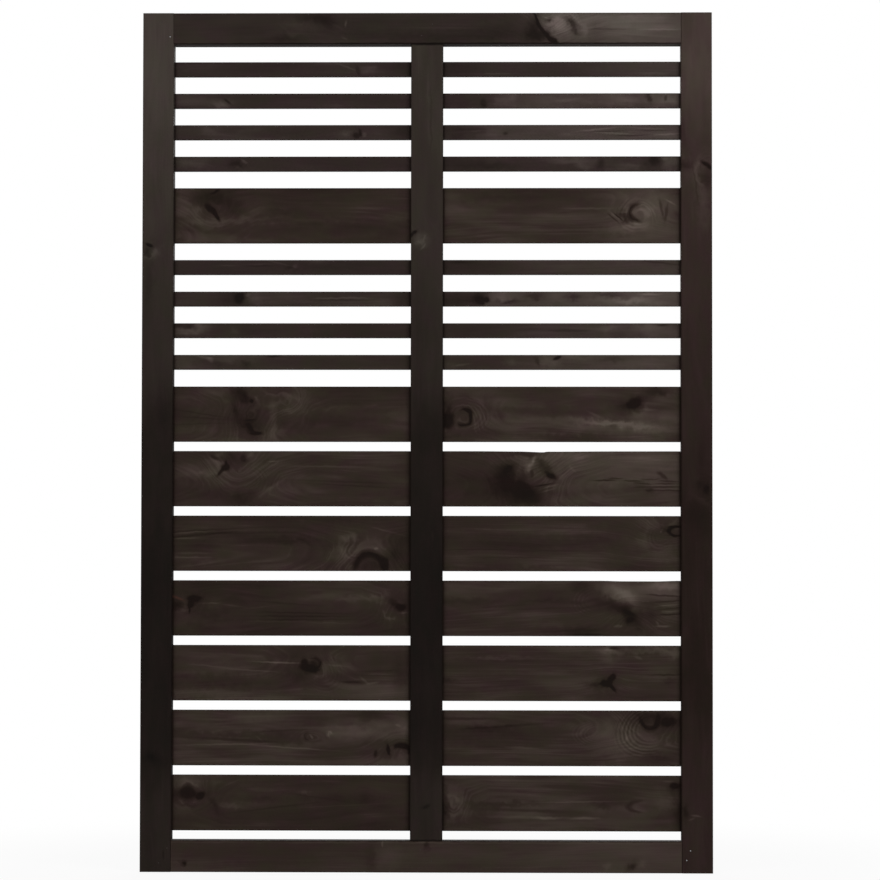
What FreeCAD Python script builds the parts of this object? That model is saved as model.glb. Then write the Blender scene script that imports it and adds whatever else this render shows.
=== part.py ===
"""Framed timber fence panel: two stiles, two rails and a centre mullion, filled with level boards and slats.

The panel stands in the XZ plane with its front towards -Y. The origin is at the foot of the left stile's
outer side face, midway through the frame's depth. X runs along the panel and Z up it.

Joinery: the rails are tenoned into the stiles and the mullion into the rails. Each board and slat is a
separate piece in its own bay. Both of its ends stand in housings, one in the stile and one in the mullion,
and it rests on the floor of those housings.
"""

import FreeCAD, Part
import math
import os

import Sketcher

# Driving dimensions, in millimetres

SIZES = (
    ("panel_height", 1800, "from the foot to the top of the stiles"),
    ("bay_width", 499, "clear width between a stile and the mullion"),
    ("stile_width", 65, "face width of a stile"),
    ("mullion_width", 67, "face width of the mullion"),
    ("rail_width", 66, "face width of a rail"),
    ("frame_depth", 45, "depth of all five frame members, front to back"),
    ("frame_arris", 3, "radius planed on the long edges of the frame members"),
    ("board_height", 116, "face width of a wide board"),
    ("slat_height", 31, "face width of a narrow slat"),
    ("infill_thickness", 16, "thickness of the boards and the slats"),
    ("infill_arris", 2.5, "radius planed on the long edges of boards and slats"),
    ("board_gap", 19.5, "open gap under each low board"),
    ("low_boards", 7, "number of boards in the lower part of a bay"),
    ("group_slats", 4, "number of slats in each of a bay's two groups"),
    ("housing_depth", 15, "how deep a housing is cut into a stile or the mullion"),
    ("housing_clearance", 0.25, "air beside and above a board in its housing"),
    ("end_clearance", 1, "air between the end of a board and the bottom of its housing"),
    ("tenon_thickness", 15, "tenon size front to back"),
    ("tenon_breadth", 42, "tenon size across the width of the member that carries it"),
    ("rail_tenon_length", 40, "tenon of a rail, in the stile"),
    ("mullion_tenon_length", 30, "tenon of the mullion, in the rail"),
    ("tenon_clearance", 0.2, "air round a tenon in its mortise"),
    ("mortise_spare", 2, "how much deeper a mortise is than its tenon is long"),
)

# Lengths that follow from the driving dimensions

RAIL_LENGTH = "(2 * Sizes.bay_width + Sizes.mullion_width)"
MULLION_LENGTH = "(Sizes.panel_height - 2 * Sizes.rail_width)"
BOARD_PITCH = "(Sizes.board_height + Sizes.board_gap)"
LOW_BOARDS_HEIGHT = f"(Sizes.low_boards * {BOARD_PITCH})"

# The slat gap is the one that ends the infill exactly one gap under the top rail
SLATS_HEIGHT = "(2 * Sizes.group_slats * Sizes.slat_height)"
SLAT_GAPS_HEIGHT = f"({MULLION_LENGTH} - {LOW_BOARDS_HEIGHT} - Sizes.board_height - {SLATS_HEIGHT})"
SLAT_GAP = f"({SLAT_GAPS_HEIGHT} / (2 * (Sizes.group_slats + 1)))"
SLAT_PITCH = f"(Sizes.slat_height + {SLAT_GAP})"

# Height of the first piece of each run, from the inner edge of the bottom rail to the piece's underside
LOW_BOARDS_START = "Sizes.board_gap"
LOW_SLATS_START = f"({LOW_BOARDS_HEIGHT} + {SLAT_GAP})"
BELT_BOARD_START = f"({LOW_SLATS_START} + Sizes.group_slats * {SLAT_PITCH})"
TOP_SLATS_START = f"({BELT_BOARD_START} + Sizes.board_height + {SLAT_GAP})"

# The runs of equal pieces up a bay: name, face width, first height, pitch, and the size that counts them
RUNS = (
    ("low_board", "Sizes.board_height", LOW_BOARDS_START, BOARD_PITCH, "low_boards"),
    ("low_slat", "Sizes.slat_height", LOW_SLATS_START, SLAT_PITCH, "group_slats"),
    ("belt_board", "Sizes.board_height", BELT_BOARD_START, None, None),
    ("top_slat", "Sizes.slat_height", TOP_SLATS_START, SLAT_PITCH, "group_slats"),
)


def make_sheet(doc):
    """The spreadsheet of driving dimensions: one row each, with its name, its value and what it measures."""
    sheet = doc.addObject("Spreadsheet::Sheet", "Sizes")
    for row, (alias, value, meaning) in enumerate(SIZES, start=1):
        sheet.set(f"A{row}", alias)
        sheet.set(f"B{row}", str(value))
        sheet.set(f"C{row}", meaning)
        sheet.setAlias(f"B{row}", alias)
    doc.recompute()
    return sheet


# Sketches and features that the members share


def origin_item(body, role):
    """One of the body's own origin planes or axes."""
    return next(item for item in body.Origin.OriginFeatures if item.Role == role)


def new_sketch(body, name, role, offset):
    """A sketch on an origin plane of the body, moved by expressions along its own x, y and z."""
    sketch = body.newObject("Sketcher::SketchObject", name)
    sketch.AttachmentSupport = [(origin_item(body, role), "")]
    sketch.MapMode = "FlatFace"
    for axis, expression in offset.items():
        sketch.setExpression(f"AttachmentOffset.Base.{axis}", expression)
    return sketch


def add_size(sketch, name, constraint, expression):
    """Adds a dimension to a sketch and binds it to the sheet."""
    index = sketch.addConstraint(constraint)
    sketch.renameConstraint(index, name)
    sketch.setExpression(f"Constraints.{name}", expression)


def add_centred_rectangle(sketch, width, height):
    """A rectangle with sharp corners, centred on the sketch's origin. Its sizes are expressions."""
    x, y = (float(sketch.evalExpression(size)) / 2 for size in (width, height))
    corners = [FreeCAD.Vector(*point, 0) for point in ((-x, -y), (x, -y), (x, y), (-x, y))]
    for n in range(4):
        sketch.addGeometry(Part.LineSegment(corners[n], corners[(n + 1) % 4]), False)
        sketch.addConstraint(Sketcher.Constraint("Vertical" if n % 2 else "Horizontal", n))
    for n in range(4):
        sketch.addConstraint(Sketcher.Constraint("Coincident", n, 2, (n + 1) % 4, 1))
    sketch.addConstraint(Sketcher.Constraint("Symmetric", 0, 1, 2, 1, -1, 1))
    add_size(sketch, "width", Sketcher.Constraint("DistanceX", 0, 1, 0, 2, 2 * x), width)
    add_size(sketch, "height", Sketcher.Constraint("DistanceY", 1, 1, 1, 2, 2 * y), height)


def add_planed_section(sketch, width, height, arris):
    """The section of a planed timber: a centred rectangle whose four corners are rounded by the arris."""
    wide, high, radius = (float(sketch.evalExpression(size)) for size in (width, height, arris))
    x, y = wide / 2 - radius, high / 2 - radius
    corners = ((x, y), (-x, y), (-x, -y), (x, -y))
    outward = ((0, radius), (-radius, 0), (0, -radius), (radius, 0))
    for n, corner in enumerate(corners):
        circle = Part.Circle(FreeCAD.Vector(*corner, 0), FreeCAD.Vector(0, 0, 1), radius)
        arc = Part.ArcOfCircle(circle, math.radians(90 * n), math.radians(90 * (n + 1)))
        sketch.addGeometry(arc, False)
    for n, (dx, dy) in enumerate(outward):
        (x1, y1), (x2, y2) = corners[n], corners[(n + 1) % 4]
        start = FreeCAD.Vector(x1 + dx, y1 + dy, 0)
        end = FreeCAD.Vector(x2 + dx, y2 + dy, 0)
        sketch.addGeometry(Part.LineSegment(start, end), False)
    for n in range(4):
        side = 4 + n
        sketch.addConstraint(Sketcher.Constraint("Tangent", n, 2, side, 1))
        sketch.addConstraint(Sketcher.Constraint("Tangent", side, 2, (n + 1) % 4, 1))
        sketch.addConstraint(Sketcher.Constraint("Vertical" if n % 2 else "Horizontal", side))
    for n in (1, 2, 3):
        sketch.addConstraint(Sketcher.Constraint("Equal", 0, n))
    sketch.addConstraint(Sketcher.Constraint("Symmetric", 0, 3, 2, 3, -1, 1))
    add_size(sketch, "arris", Sketcher.Constraint("Radius", 0, radius), arris)
    add_size(sketch, "width", Sketcher.Constraint("DistanceX", 1, 3, 0, 3, 2 * x), f"{width} - 2 * {arris}")
    add_size(sketch, "height", Sketcher.Constraint("DistanceY", 3, 3, 0, 3, 2 * y), f"{height} - 2 * {arris}")


def add_pad(body, name, sketch, length, reverse=False):
    """Pads a sketch along its normal, or against it."""
    pad = body.newObject("PartDesign::Pad", name)
    pad.Profile = sketch
    pad.Reversed = reverse
    pad.setExpression("Length", length)
    return pad


def add_pocket(body, name, sketch, depth, reverse=False):
    """Cuts a sketch into the body against the sketch's normal, or along it."""
    pocket = body.newObject("PartDesign::Pocket", name)
    pocket.Profile = sketch
    pocket.Reversed = reverse
    pocket.setExpression("Length", depth)
    return pocket


def repeat_upwards(body, name, feature, pitch, count):
    """Repeats a feature straight up the body."""
    row = body.newObject("PartDesign::LinearPattern", name)
    row.Originals = [feature]
    row.Direction = (origin_item(body, "Z_Axis"), [""])
    row.Mode = "Spacing"
    row.setExpression("Offset", pitch)
    row.setExpression("Occurrences", count)
    body.Tip = row


# Joinery


def cut_mortise(body, name, role, offset, tenon_length, reverse=False):
    """The blind hole for a tenon. On a YZ face the tenon's thickness lies along the sketch's x."""
    thickness = "Sizes.tenon_thickness + 2 * Sizes.tenon_clearance"
    breadth = "Sizes.tenon_breadth + 2 * Sizes.tenon_clearance"
    mouth = new_sketch(body, f"{name}_mouth", role, offset)
    if role == "YZ_Plane":
        add_centred_rectangle(mouth, thickness, breadth)
    else:
        add_centred_rectangle(mouth, breadth, thickness)
    add_pocket(body, name, mouth, f"{tenon_length} + Sizes.mortise_spare", reverse)


def cut_housings(body, label, side, foot, reverse):
    """A square-cut housing for the end of each board and slat, in a side face of an upright.

    side is that face's distance from the body's YZ plane, and foot the height in the body of the bottom
    rail's inner edge.
    """
    for name, face, start, pitch, counter in RUNS:
        tag = f"{label}_{name}"
        height = f"({face} + Sizes.housing_clearance)"
        thickness = "Sizes.infill_thickness + 2 * Sizes.housing_clearance"
        middle = f"{foot} + {start} + {height} / 2"
        mouth = new_sketch(body, f"{tag}_mouth", "YZ_Plane", {"y": middle, "z": side})
        add_centred_rectangle(mouth, thickness, height)
        housing = add_pocket(body, f"{tag}_housing", mouth, "Sizes.housing_depth", reverse)
        if counter is not None:
            repeat_upwards(body, f"{tag}_housings", housing, pitch, f"Sizes.{counter}")


# Stiles


def make_stile(doc, label):
    """An upright with its inner side face on the body's YZ plane and its wood on the -X side of it."""
    body = doc.addObject("PartDesign::Body", label)
    section = new_sketch(body, f"{label}_section", "XY_Plane", {"x": "-Sizes.stile_width / 2"})
    add_planed_section(section, "Sizes.stile_width", "Sizes.frame_depth", "Sizes.frame_arris")
    add_pad(body, f"{label}_timber", section, "Sizes.panel_height")
    foot = {"y": "Sizes.rail_width / 2"}
    head = {"y": "Sizes.panel_height - Sizes.rail_width / 2"}
    cut_mortise(body, f"{label}_foot_mortise", "YZ_Plane", foot, "Sizes.rail_tenon_length")
    cut_mortise(body, f"{label}_head_mortise", "YZ_Plane", head, "Sizes.rail_tenon_length")
    cut_housings(body, label, side="0", foot="Sizes.rail_width", reverse=False)
    return body


# Rails


def make_rail(doc, label):
    """A rail from the body's YZ plane along X, with its inner edge on the XY plane and its wood above."""
    body = doc.addObject("PartDesign::Body", label)
    axis = "Sizes.rail_width / 2"
    section = new_sketch(body, f"{label}_section", "YZ_Plane", {"y": axis})
    add_planed_section(section, "Sizes.frame_depth", "Sizes.rail_width", "Sizes.frame_arris")
    add_pad(body, f"{label}_timber", section, RAIL_LENGTH)
    for end, shoulder, reverse in (("near", "0", True), ("far", RAIL_LENGTH, False)):
        root = new_sketch(body, f"{label}_{end}_tenon_root", "YZ_Plane", {"y": axis, "z": shoulder})
        add_centred_rectangle(root, "Sizes.tenon_thickness", "Sizes.tenon_breadth")
        add_pad(body, f"{label}_{end}_tenon", root, "Sizes.rail_tenon_length", reverse)
    middle = {"x": f"{RAIL_LENGTH} / 2"}
    cut_mortise(body, f"{label}_mortise", "XY_Plane", middle, "Sizes.mullion_tenon_length", reverse=True)
    return body


# Mullion


def make_mullion(doc, label):
    """The centre upright, centred on the body's Z axis, with its lower shoulder on the XY plane."""
    body = doc.addObject("PartDesign::Body", label)
    section = new_sketch(body, f"{label}_section", "XY_Plane", {})
    add_planed_section(section, "Sizes.mullion_width", "Sizes.frame_depth", "Sizes.frame_arris")
    add_pad(body, f"{label}_timber", section, MULLION_LENGTH)
    for end, shoulder, reverse in (("foot", "0", True), ("head", MULLION_LENGTH, False)):
        root = new_sketch(body, f"{label}_{end}_tenon_root", "XY_Plane", {"z": shoulder})
        add_centred_rectangle(root, "Sizes.tenon_breadth", "Sizes.tenon_thickness")
        add_pad(body, f"{label}_{end}_tenon", root, "Sizes.mullion_tenon_length", reverse)
    half = "Sizes.mullion_width / 2"
    cut_housings(body, f"{label}_right", side=half, foot="0", reverse=False)
    cut_housings(body, f"{label}_left", side=f"-{half}", foot="0", reverse=True)
    return body


# Boards and slats


def make_infill(doc, label, face):
    """A board or slat from the body's YZ plane along X, with its underside on the XY plane."""
    body = doc.addObject("PartDesign::Body", label)
    section = new_sketch(body, f"{label}_section", "YZ_Plane", {"y": f"{face} / 2"})
    add_planed_section(section, "Sizes.infill_thickness", face, "Sizes.infill_arris")
    length = "Sizes.bay_width + 2 * (Sizes.housing_depth - Sizes.end_clearance)"
    add_pad(body, f"{label}_timber", section, length)
    return body


# The panel


def place(body, x, z="0", turn_about=None):
    """Puts a body at expressions in X and Z, after a half turn about an axis where one is given."""
    if turn_about is not None:
        body.Placement = FreeCAD.Placement(FreeCAD.Vector(), FreeCAD.Rotation(turn_about, 180))
    body.setExpression("Placement.Base.x", x)
    body.setExpression("Placement.Base.z", z)
    return body


def make_frame(doc):
    """Two stiles to one pattern, the right one turned half round, two rails likewise, and the mullion."""
    left_shoulder = "Sizes.stile_width"
    right_shoulder = f"(Sizes.stile_width + {RAIL_LENGTH})"
    mullion_axis = "Sizes.stile_width + Sizes.bay_width + Sizes.mullion_width / 2"
    top_rail_edge = "Sizes.panel_height - Sizes.rail_width"
    upright = FreeCAD.Vector(0, 0, 1)
    level = FreeCAD.Vector(1, 0, 0)
    return [
        place(make_stile(doc, "left_stile"), left_shoulder),
        place(make_stile(doc, "right_stile"), right_shoulder, turn_about=upright),
        place(make_rail(doc, "top_rail"), left_shoulder, top_rail_edge),
        place(make_rail(doc, "bottom_rail"), left_shoulder, "Sizes.rail_width", turn_about=level),
        place(make_mullion(doc, "mullion"), mullion_axis, "Sizes.rail_width"),
    ]


def make_bay(doc, sheet, side, bay_start):
    """The boards and slats of one bay, numbered from below."""
    bodies = []
    end = f"{bay_start} - Sizes.housing_depth + Sizes.end_clearance"
    for name, face, start, pitch, counter in RUNS:
        count = int(sheet.get(counter)) if counter else 1
        for n in range(count):
            label = f"{side}_{name}_{n + 1}" if counter else f"{side}_{name}"
            underside = f"Sizes.rail_width + {start}" + (f" + {n} * {pitch}" if n else "")
            bodies.append(place(make_infill(doc, label, face), end, underside))
    return bodies


def check(doc, bodies):
    """Stops if any object failed to recompute or any piece isn't one valid solid."""
    failed = [item.Label for item in doc.Objects if {"Invalid", "Error"} & set(item.State)]
    if failed:
        raise RuntimeError(f"these objects failed to recompute: {failed}")
    for body in bodies:
        shape = body.Shape
        if shape.isNull() or not shape.isValid() or len(shape.Solids) != 1:
            raise RuntimeError(f"{body.Label} isn't one valid solid")


def export(bodies):
    """Writes one STEP file for each piece."""
    os.makedirs("parts", exist_ok=True)
    for body in bodies:
        body.Shape.exportStep(f"parts/{body.Label}.step")


document = FreeCAD.newDocument("fence_panel")
sizes = make_sheet(document)
right_bay_start = "Sizes.stile_width + Sizes.bay_width + Sizes.mullion_width"
pieces = make_frame(document)
pieces += make_bay(document, sizes, "left", "Sizes.stile_width")
pieces += make_bay(document, sizes, "right", right_bay_start)
document.recompute()
check(document, pieces)
export(pieces)
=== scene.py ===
"""Looks of a framed timber fence panel: dark stained spruce boards and slats in a mortised frame.

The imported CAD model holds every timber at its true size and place. This script stains and grains the
timbers, adds the tenon pins and the two boards with worn top edges, and sets up the studio.
"""

import math
from functools import partial

import bmesh
import bpy
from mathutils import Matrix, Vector


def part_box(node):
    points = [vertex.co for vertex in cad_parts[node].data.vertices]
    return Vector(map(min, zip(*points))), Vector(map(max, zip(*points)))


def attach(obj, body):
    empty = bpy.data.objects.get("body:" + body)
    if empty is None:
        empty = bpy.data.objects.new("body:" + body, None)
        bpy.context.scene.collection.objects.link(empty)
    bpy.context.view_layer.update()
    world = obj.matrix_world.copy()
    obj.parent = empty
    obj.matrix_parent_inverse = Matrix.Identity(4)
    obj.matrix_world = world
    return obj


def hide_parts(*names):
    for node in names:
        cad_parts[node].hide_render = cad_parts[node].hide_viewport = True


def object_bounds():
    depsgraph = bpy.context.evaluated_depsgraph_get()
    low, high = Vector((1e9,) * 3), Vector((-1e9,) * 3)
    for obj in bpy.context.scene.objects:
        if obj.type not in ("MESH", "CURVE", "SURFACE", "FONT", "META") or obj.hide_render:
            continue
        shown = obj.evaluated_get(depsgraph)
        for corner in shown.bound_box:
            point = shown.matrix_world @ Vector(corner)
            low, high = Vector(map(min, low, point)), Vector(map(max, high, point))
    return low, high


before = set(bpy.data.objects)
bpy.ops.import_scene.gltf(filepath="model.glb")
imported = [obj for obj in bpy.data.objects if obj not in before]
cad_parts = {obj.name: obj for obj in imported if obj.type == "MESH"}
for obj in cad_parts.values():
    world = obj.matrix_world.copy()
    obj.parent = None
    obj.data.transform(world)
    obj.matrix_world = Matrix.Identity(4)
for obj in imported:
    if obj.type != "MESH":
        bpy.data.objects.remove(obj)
cad_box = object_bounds()


# Stiles
#
# The two uprights of the frame: planed spruce, 65 by 45 mm, with rounded arrises and blind housings for
# the boards. The whole panel was dipped in a thin black-brown stain. The uprights carry a painted sheen:
# their colour is lighter towards the top and the foot, where the lamps' reflection fell along their grain.

MM = 0.001


def linear(colour):
    """An sRGB hex colour as linear RGBA."""
    channels = [int(colour[i : i + 2], 16) / 255 for i in (1, 3, 5)]
    curve = [c / 12.92 if c <= 0.04045 else ((c + 0.055) / 1.055) ** 2.4 for c in channels]
    return (*curve, 1.0)


def add_node(tree, kind, inputs=(), **settings):
    """Adds a node with its settings. Its inputs are given values, or links from sockets or other nodes."""
    node = tree.nodes.new(kind)
    for name, value in settings.items():
        setattr(node, name, value)
    for key, value in dict(inputs).items():
        if isinstance(value, bpy.types.Node):
            value = value.outputs[0]
        if isinstance(value, bpy.types.NodeSocket):
            tree.links.new(value, node.inputs[key])
        else:
            node.inputs[key].default_value = value
    return node


def set_stops(ramp_node, stops):
    """Gives a colour ramp its stops, as a list of position and RGBA colour."""
    elements = ramp_node.color_ramp.elements
    while len(elements) < len(stops):
        elements.new(0.5)
    for element, (position, colour) in zip(elements, stops):
        element.position = position
        element.color = colour
    return ramp_node


# The stain soaks into soft wood and leaves hard wood paler. Each list runs from the black of a knot
# through the colour of a whole board to the palest latewood, over russet heartwood and over sapwood.
RUSSET = ("#150b09", "#241916", "#342625", "#4e413d", "#70605b")
OLIVE = ("#100c09", "#1f1812", "#322b22", "#4c443b", "#6b635a")
RESIN = "#a8604a"
REDNESS_SPREAD, REDNESS_START = 2.2, -0.66

# Sizes of the patterns in mm, along the log and across it. Growth rings of slow-grown spruce are 1 to
# 3 mm apart. They are drawn 4.5 mm apart, because two pixels of the picture are 4 mm on the panel.
# Streaks and threads of fibres are drawn coarser for the same reason. Single fibres have their real
# size, as relief only.
RING_PITCH = 4.5
RING_WANDER = 26.0
WANDER_SIZE = (320.0, 90.0, 70.0)
STREAK_SIZE = (260.0, 15.0)
STREAK_LEAN = 0.4
THREAD_SIZE = (90.0, 3.4)
FIBRE_SIZE = (40.0, 1.2, 1.2)
STAIN_PATCH_SIZE = (190.0, 50.0, 42.0)
HUE_PATCH_SIZE = (52.0, 30.0, 28.0)
GRAIN_SLOPE, GRAIN_DIVE = 0.02, 0.015

# Latewood grows pale through a year and ends at once. Rings show up to this well, and better where a
# knot bends them.
LATEWOOD = ((0.0, 0.3), (0.25, 0.0), (0.5, 0.2), (0.8, 1.0), (1.0, 0.3))
RINGS_SHOWN = (0.15, 0.6)
BENT_RINGS_SHOWN = 0.022

# How much each pattern changes the depth of stain
RING_CHANGE, THREAD_CHANGE, STREAK_CHANGE, PATCH_CHANGE = 0.08, 0.26, 0.17, 0.42
PALE_CHANGE = 0.3
DEEPEST_CHANGE = -0.85
# Heights of the painted sheen on the uprights run up to this, in mm
PAINTED_SHEEN_TOP = 1800.0

# How strong a mark in the wood is at distances from its centre, in widths of the mark: its push on the
# rings, its dark and its pale. A bulge only bends the rings. A core is the black heart of a knot, smoke
# and pale are soft, and a fleck is pale and crisp. Crescents, rims and arcs lie on one side of a knot.
# Russet, resin and chatter take all three as one brightness, in which pale counts 0.07, so they stay
# faint washes.
MARKS = {
    "bulge": ((0.0, 1.0, 0.0, 0.0), (1.0, 0.7, 0.0, 0.0), (2.2, 0.25, 0.0, 0.0), (4.0, 0.0, 0.0, 0.0)),
    "core": (
        (0.0, 0.0, 1.0, 0.0), (0.65, 0.0, 0.93, 0.0), (1.0, 0.0, 0.5, 0.0), (1.4, 0.0, 0.12, 0.0),
        (2.0, 0.0, 0.0, 0.0),
    ),
    "smoke": (
        (0.0, 0.0, 1.0, 0.0), (0.5, 0.0, 0.84, 0.0), (1.0, 0.0, 0.47, 0.0), (1.5, 0.0, 0.17, 0.0),
        (2.3, 0.0, 0.0, 0.0),
    ),
    "pale": (
        (0.0, 0.0, 0.0, 1.0), (0.5, 0.0, 0.0, 0.84), (1.0, 0.0, 0.0, 0.47), (1.5, 0.0, 0.0, 0.17),
        (2.3, 0.0, 0.0, 0.0),
    ),
    "fleck": ((0.0, 0.0, 0.0, 1.0), (0.6, 0.0, 0.0, 0.9), (1.0, 0.0, 0.0, 0.4), (1.5, 0.0, 0.0, 0.0)),
    "crescent": (
        (0.0, 0.0, 0.0, 0.0), (0.7, 0.0, 0.12, 0.0), (0.9, 0.0, 0.75, 0.0), (1.0, 0.0, 1.0, 0.0),
        (1.1, 0.0, 0.5, 0.0), (1.3, 0.0, 0.0, 0.0),
    ),
    "rim": (
        (0.0, 0.0, 0.0, 0.0), (0.6, 0.0, 0.0, 0.15), (1.0, 0.0, 0.0, 1.0), (1.4, 0.0, 0.0, 0.35),
        (2.2, 0.0, 0.0, 0.0),
    ),
    "arcs": (
        (0.0, 0.0, 0.0, 0.0), (0.4, 0.0, 0.0, 0.0), (0.65, 0.0, 0.17, 0.0), (1.0, 0.0, 0.19, 0.0),
        (1.4, 0.0, 0.0, 0.0),
    ),
    "russet": ((0.0, 0.0, 0.0, 1.0), (0.5, 0.0, 0.0, 0.84), (1.0, 0.0, 0.0, 0.47), (2.0, 0.0, 0.0, 0.0)),
    "resin": ((0.0, 0.0, 0.0, 1.0), (0.6, 0.0, 0.0, 0.8), (1.0, 0.0, 0.0, 0.3), (1.5, 0.0, 0.0, 0.0)),
    "chatter": ((0.0, 0.0, 0.0, 1.0), (0.8, 0.0, 0.0, 0.8), (1.2, 0.0, 0.0, 0.0), (4.0, 0.0, 0.0, 0.0)),
}
MARK_REACH = 4.0
MARK_DEPTH = 70.0
KNOT_PUSH = 1.5
ONE_SIDED = ("crescent", "rim", "arcs")
ARC_PITCH = 8.5

# Outlines of marks wander about every 17 mm, by these distances in mm
OUTLINE_CYCLES = 0.06
CRISP = ("core", "fleck", "crescent", "bulge")
FINE_WOBBLE, CRISP_WOBBLE, SOFT_WOBBLE = 4.0, 9.0, 24.0
FINE_HEIGHT = 4

# Ripples where the plane's cutter chattered
CHATTER_PITCH = 7.0
CHATTER_CHANGE, CHATTER_RELIEF = 0.07, 0.6

# Painted shade darkens the boards and slats just outside the housings, which hide 15 mm of each end
HOUSED = 15.0
PAINTED_SHADE_WIDTH = 4.0
PAINTED_SHADE_CHANGE = 0.6
BAY_BOARD_LIMIT = 600.0


def add_marks(add, place, front, marks, cast):
    """Adds a piece's marks, at places in mm. Gives the sum of their changes to rings, dark and pale, the
    washes, and the places with a crisp mark's wobble.
    """
    rough = add("ShaderNodeTexNoise", {"Vector": place, "Scale": OUTLINE_CYCLES, "Detail": 3.0})
    ragged = add("ShaderNodeVectorMath", {0: rough.outputs["Color"], 1: (0.5,) * 3}, operation="SUBTRACT")
    outlines = {
        wobble: add("ShaderNodeVectorMath", {0: ragged, 1: (wobble,) * 3, 2: place}, operation="MULTIPLY_ADD")
        for wobble in (FINE_WOBBLE, CRISP_WOBBLE, SOFT_WOBBLE)
    }
    changes = (0.0, 0.0, 0.0)
    washes = {"russet": cast, "resin": 0.0, "chatter": 0.0}
    flat_marks = [(kind, *mark) for kind, places in marks.items() for mark in places]
    for kind, x, z, wide, tall, *rest in flat_marks:
        amount, turn = (rest + [0, 0])[:2]
        wobble = CRISP_WOBBLE if kind in CRISP else SOFT_WOBBLE
        if tall < FINE_HEIGHT or kind == "arcs":
            wobble = FINE_WOBBLE
        near = add(
            "ShaderNodeMapping",
            {
                "Vector": outlines[wobble],
                "Location": (x, front, z),
                "Rotation": (0, -math.radians(turn), 0),
                "Scale": (wide, MARK_DEPTH, tall),
            },
            vector_type="TEXTURE",
        )
        distance = add("ShaderNodeVectorMath", {0: near}, operation="LENGTH").outputs["Value"]
        reach = add("ShaderNodeMath", {0: distance, 1: MARK_REACH}, operation="DIVIDE")
        stops = [(at / MARK_REACH, (*values, 1.0)) for at, *values in MARKS[kind]]
        act = set_stops(add("ShaderNodeValToRGB", {"Fac": reach}), stops)
        if kind in ONE_SIDED:
            forward = add("ShaderNodeSeparateXYZ", {0: near}).outputs["X"]
            towards = add("ShaderNodeMath", {0: forward, 1: distance}, operation="DIVIDE")
            side = add(
                "ShaderNodeMapRange", {"Value": towards, "From Min": -0.2, "From Max": 0.6},
                interpolation_type="SMOOTHSTEP",
            )
            act = add("ShaderNodeVectorMath", {0: act, "Scale": side}, operation="SCALE")
        if kind == "arcs":
            turns = add("ShaderNodeMath", {0: distance, 1: wide * math.tau / ARC_PITCH}, operation="MULTIPLY")
            wave = add("ShaderNodeMath", {0: turns}, operation="SINE")
            act = add("ShaderNodeVectorMath", {0: act, "Scale": wave}, operation="SCALE")
        if kind in washes:
            washes[kind] = add(
                "ShaderNodeMath", {0: act, 1: amount, 2: washes[kind]}, operation="MULTIPLY_ADD"
            )
        else:
            strengths = (KNOT_PUSH * math.sqrt(wide * tall), -amount, amount)
            changes = add(
                "ShaderNodeVectorMath", {0: act, 1: strengths, 2: changes}, operation="MULTIPLY_ADD"
            )
    return add("ShaderNodeSeparateXYZ", {0: changes}), washes, outlines[CRISP_WOBBLE]


def patches(add, log, size, shift, **inputs):
    """Noise in patches of a size in mm along the log and across it."""
    scale = [1 / side for side in size]
    place = add("ShaderNodeVectorMath", {0: log, 1: scale, 2: (shift, 0, 0)}, operation="MULTIPLY_ADD")
    return add("ShaderNodeTexNoise", {"Vector": place, "Scale": 1.0, **inputs})


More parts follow.
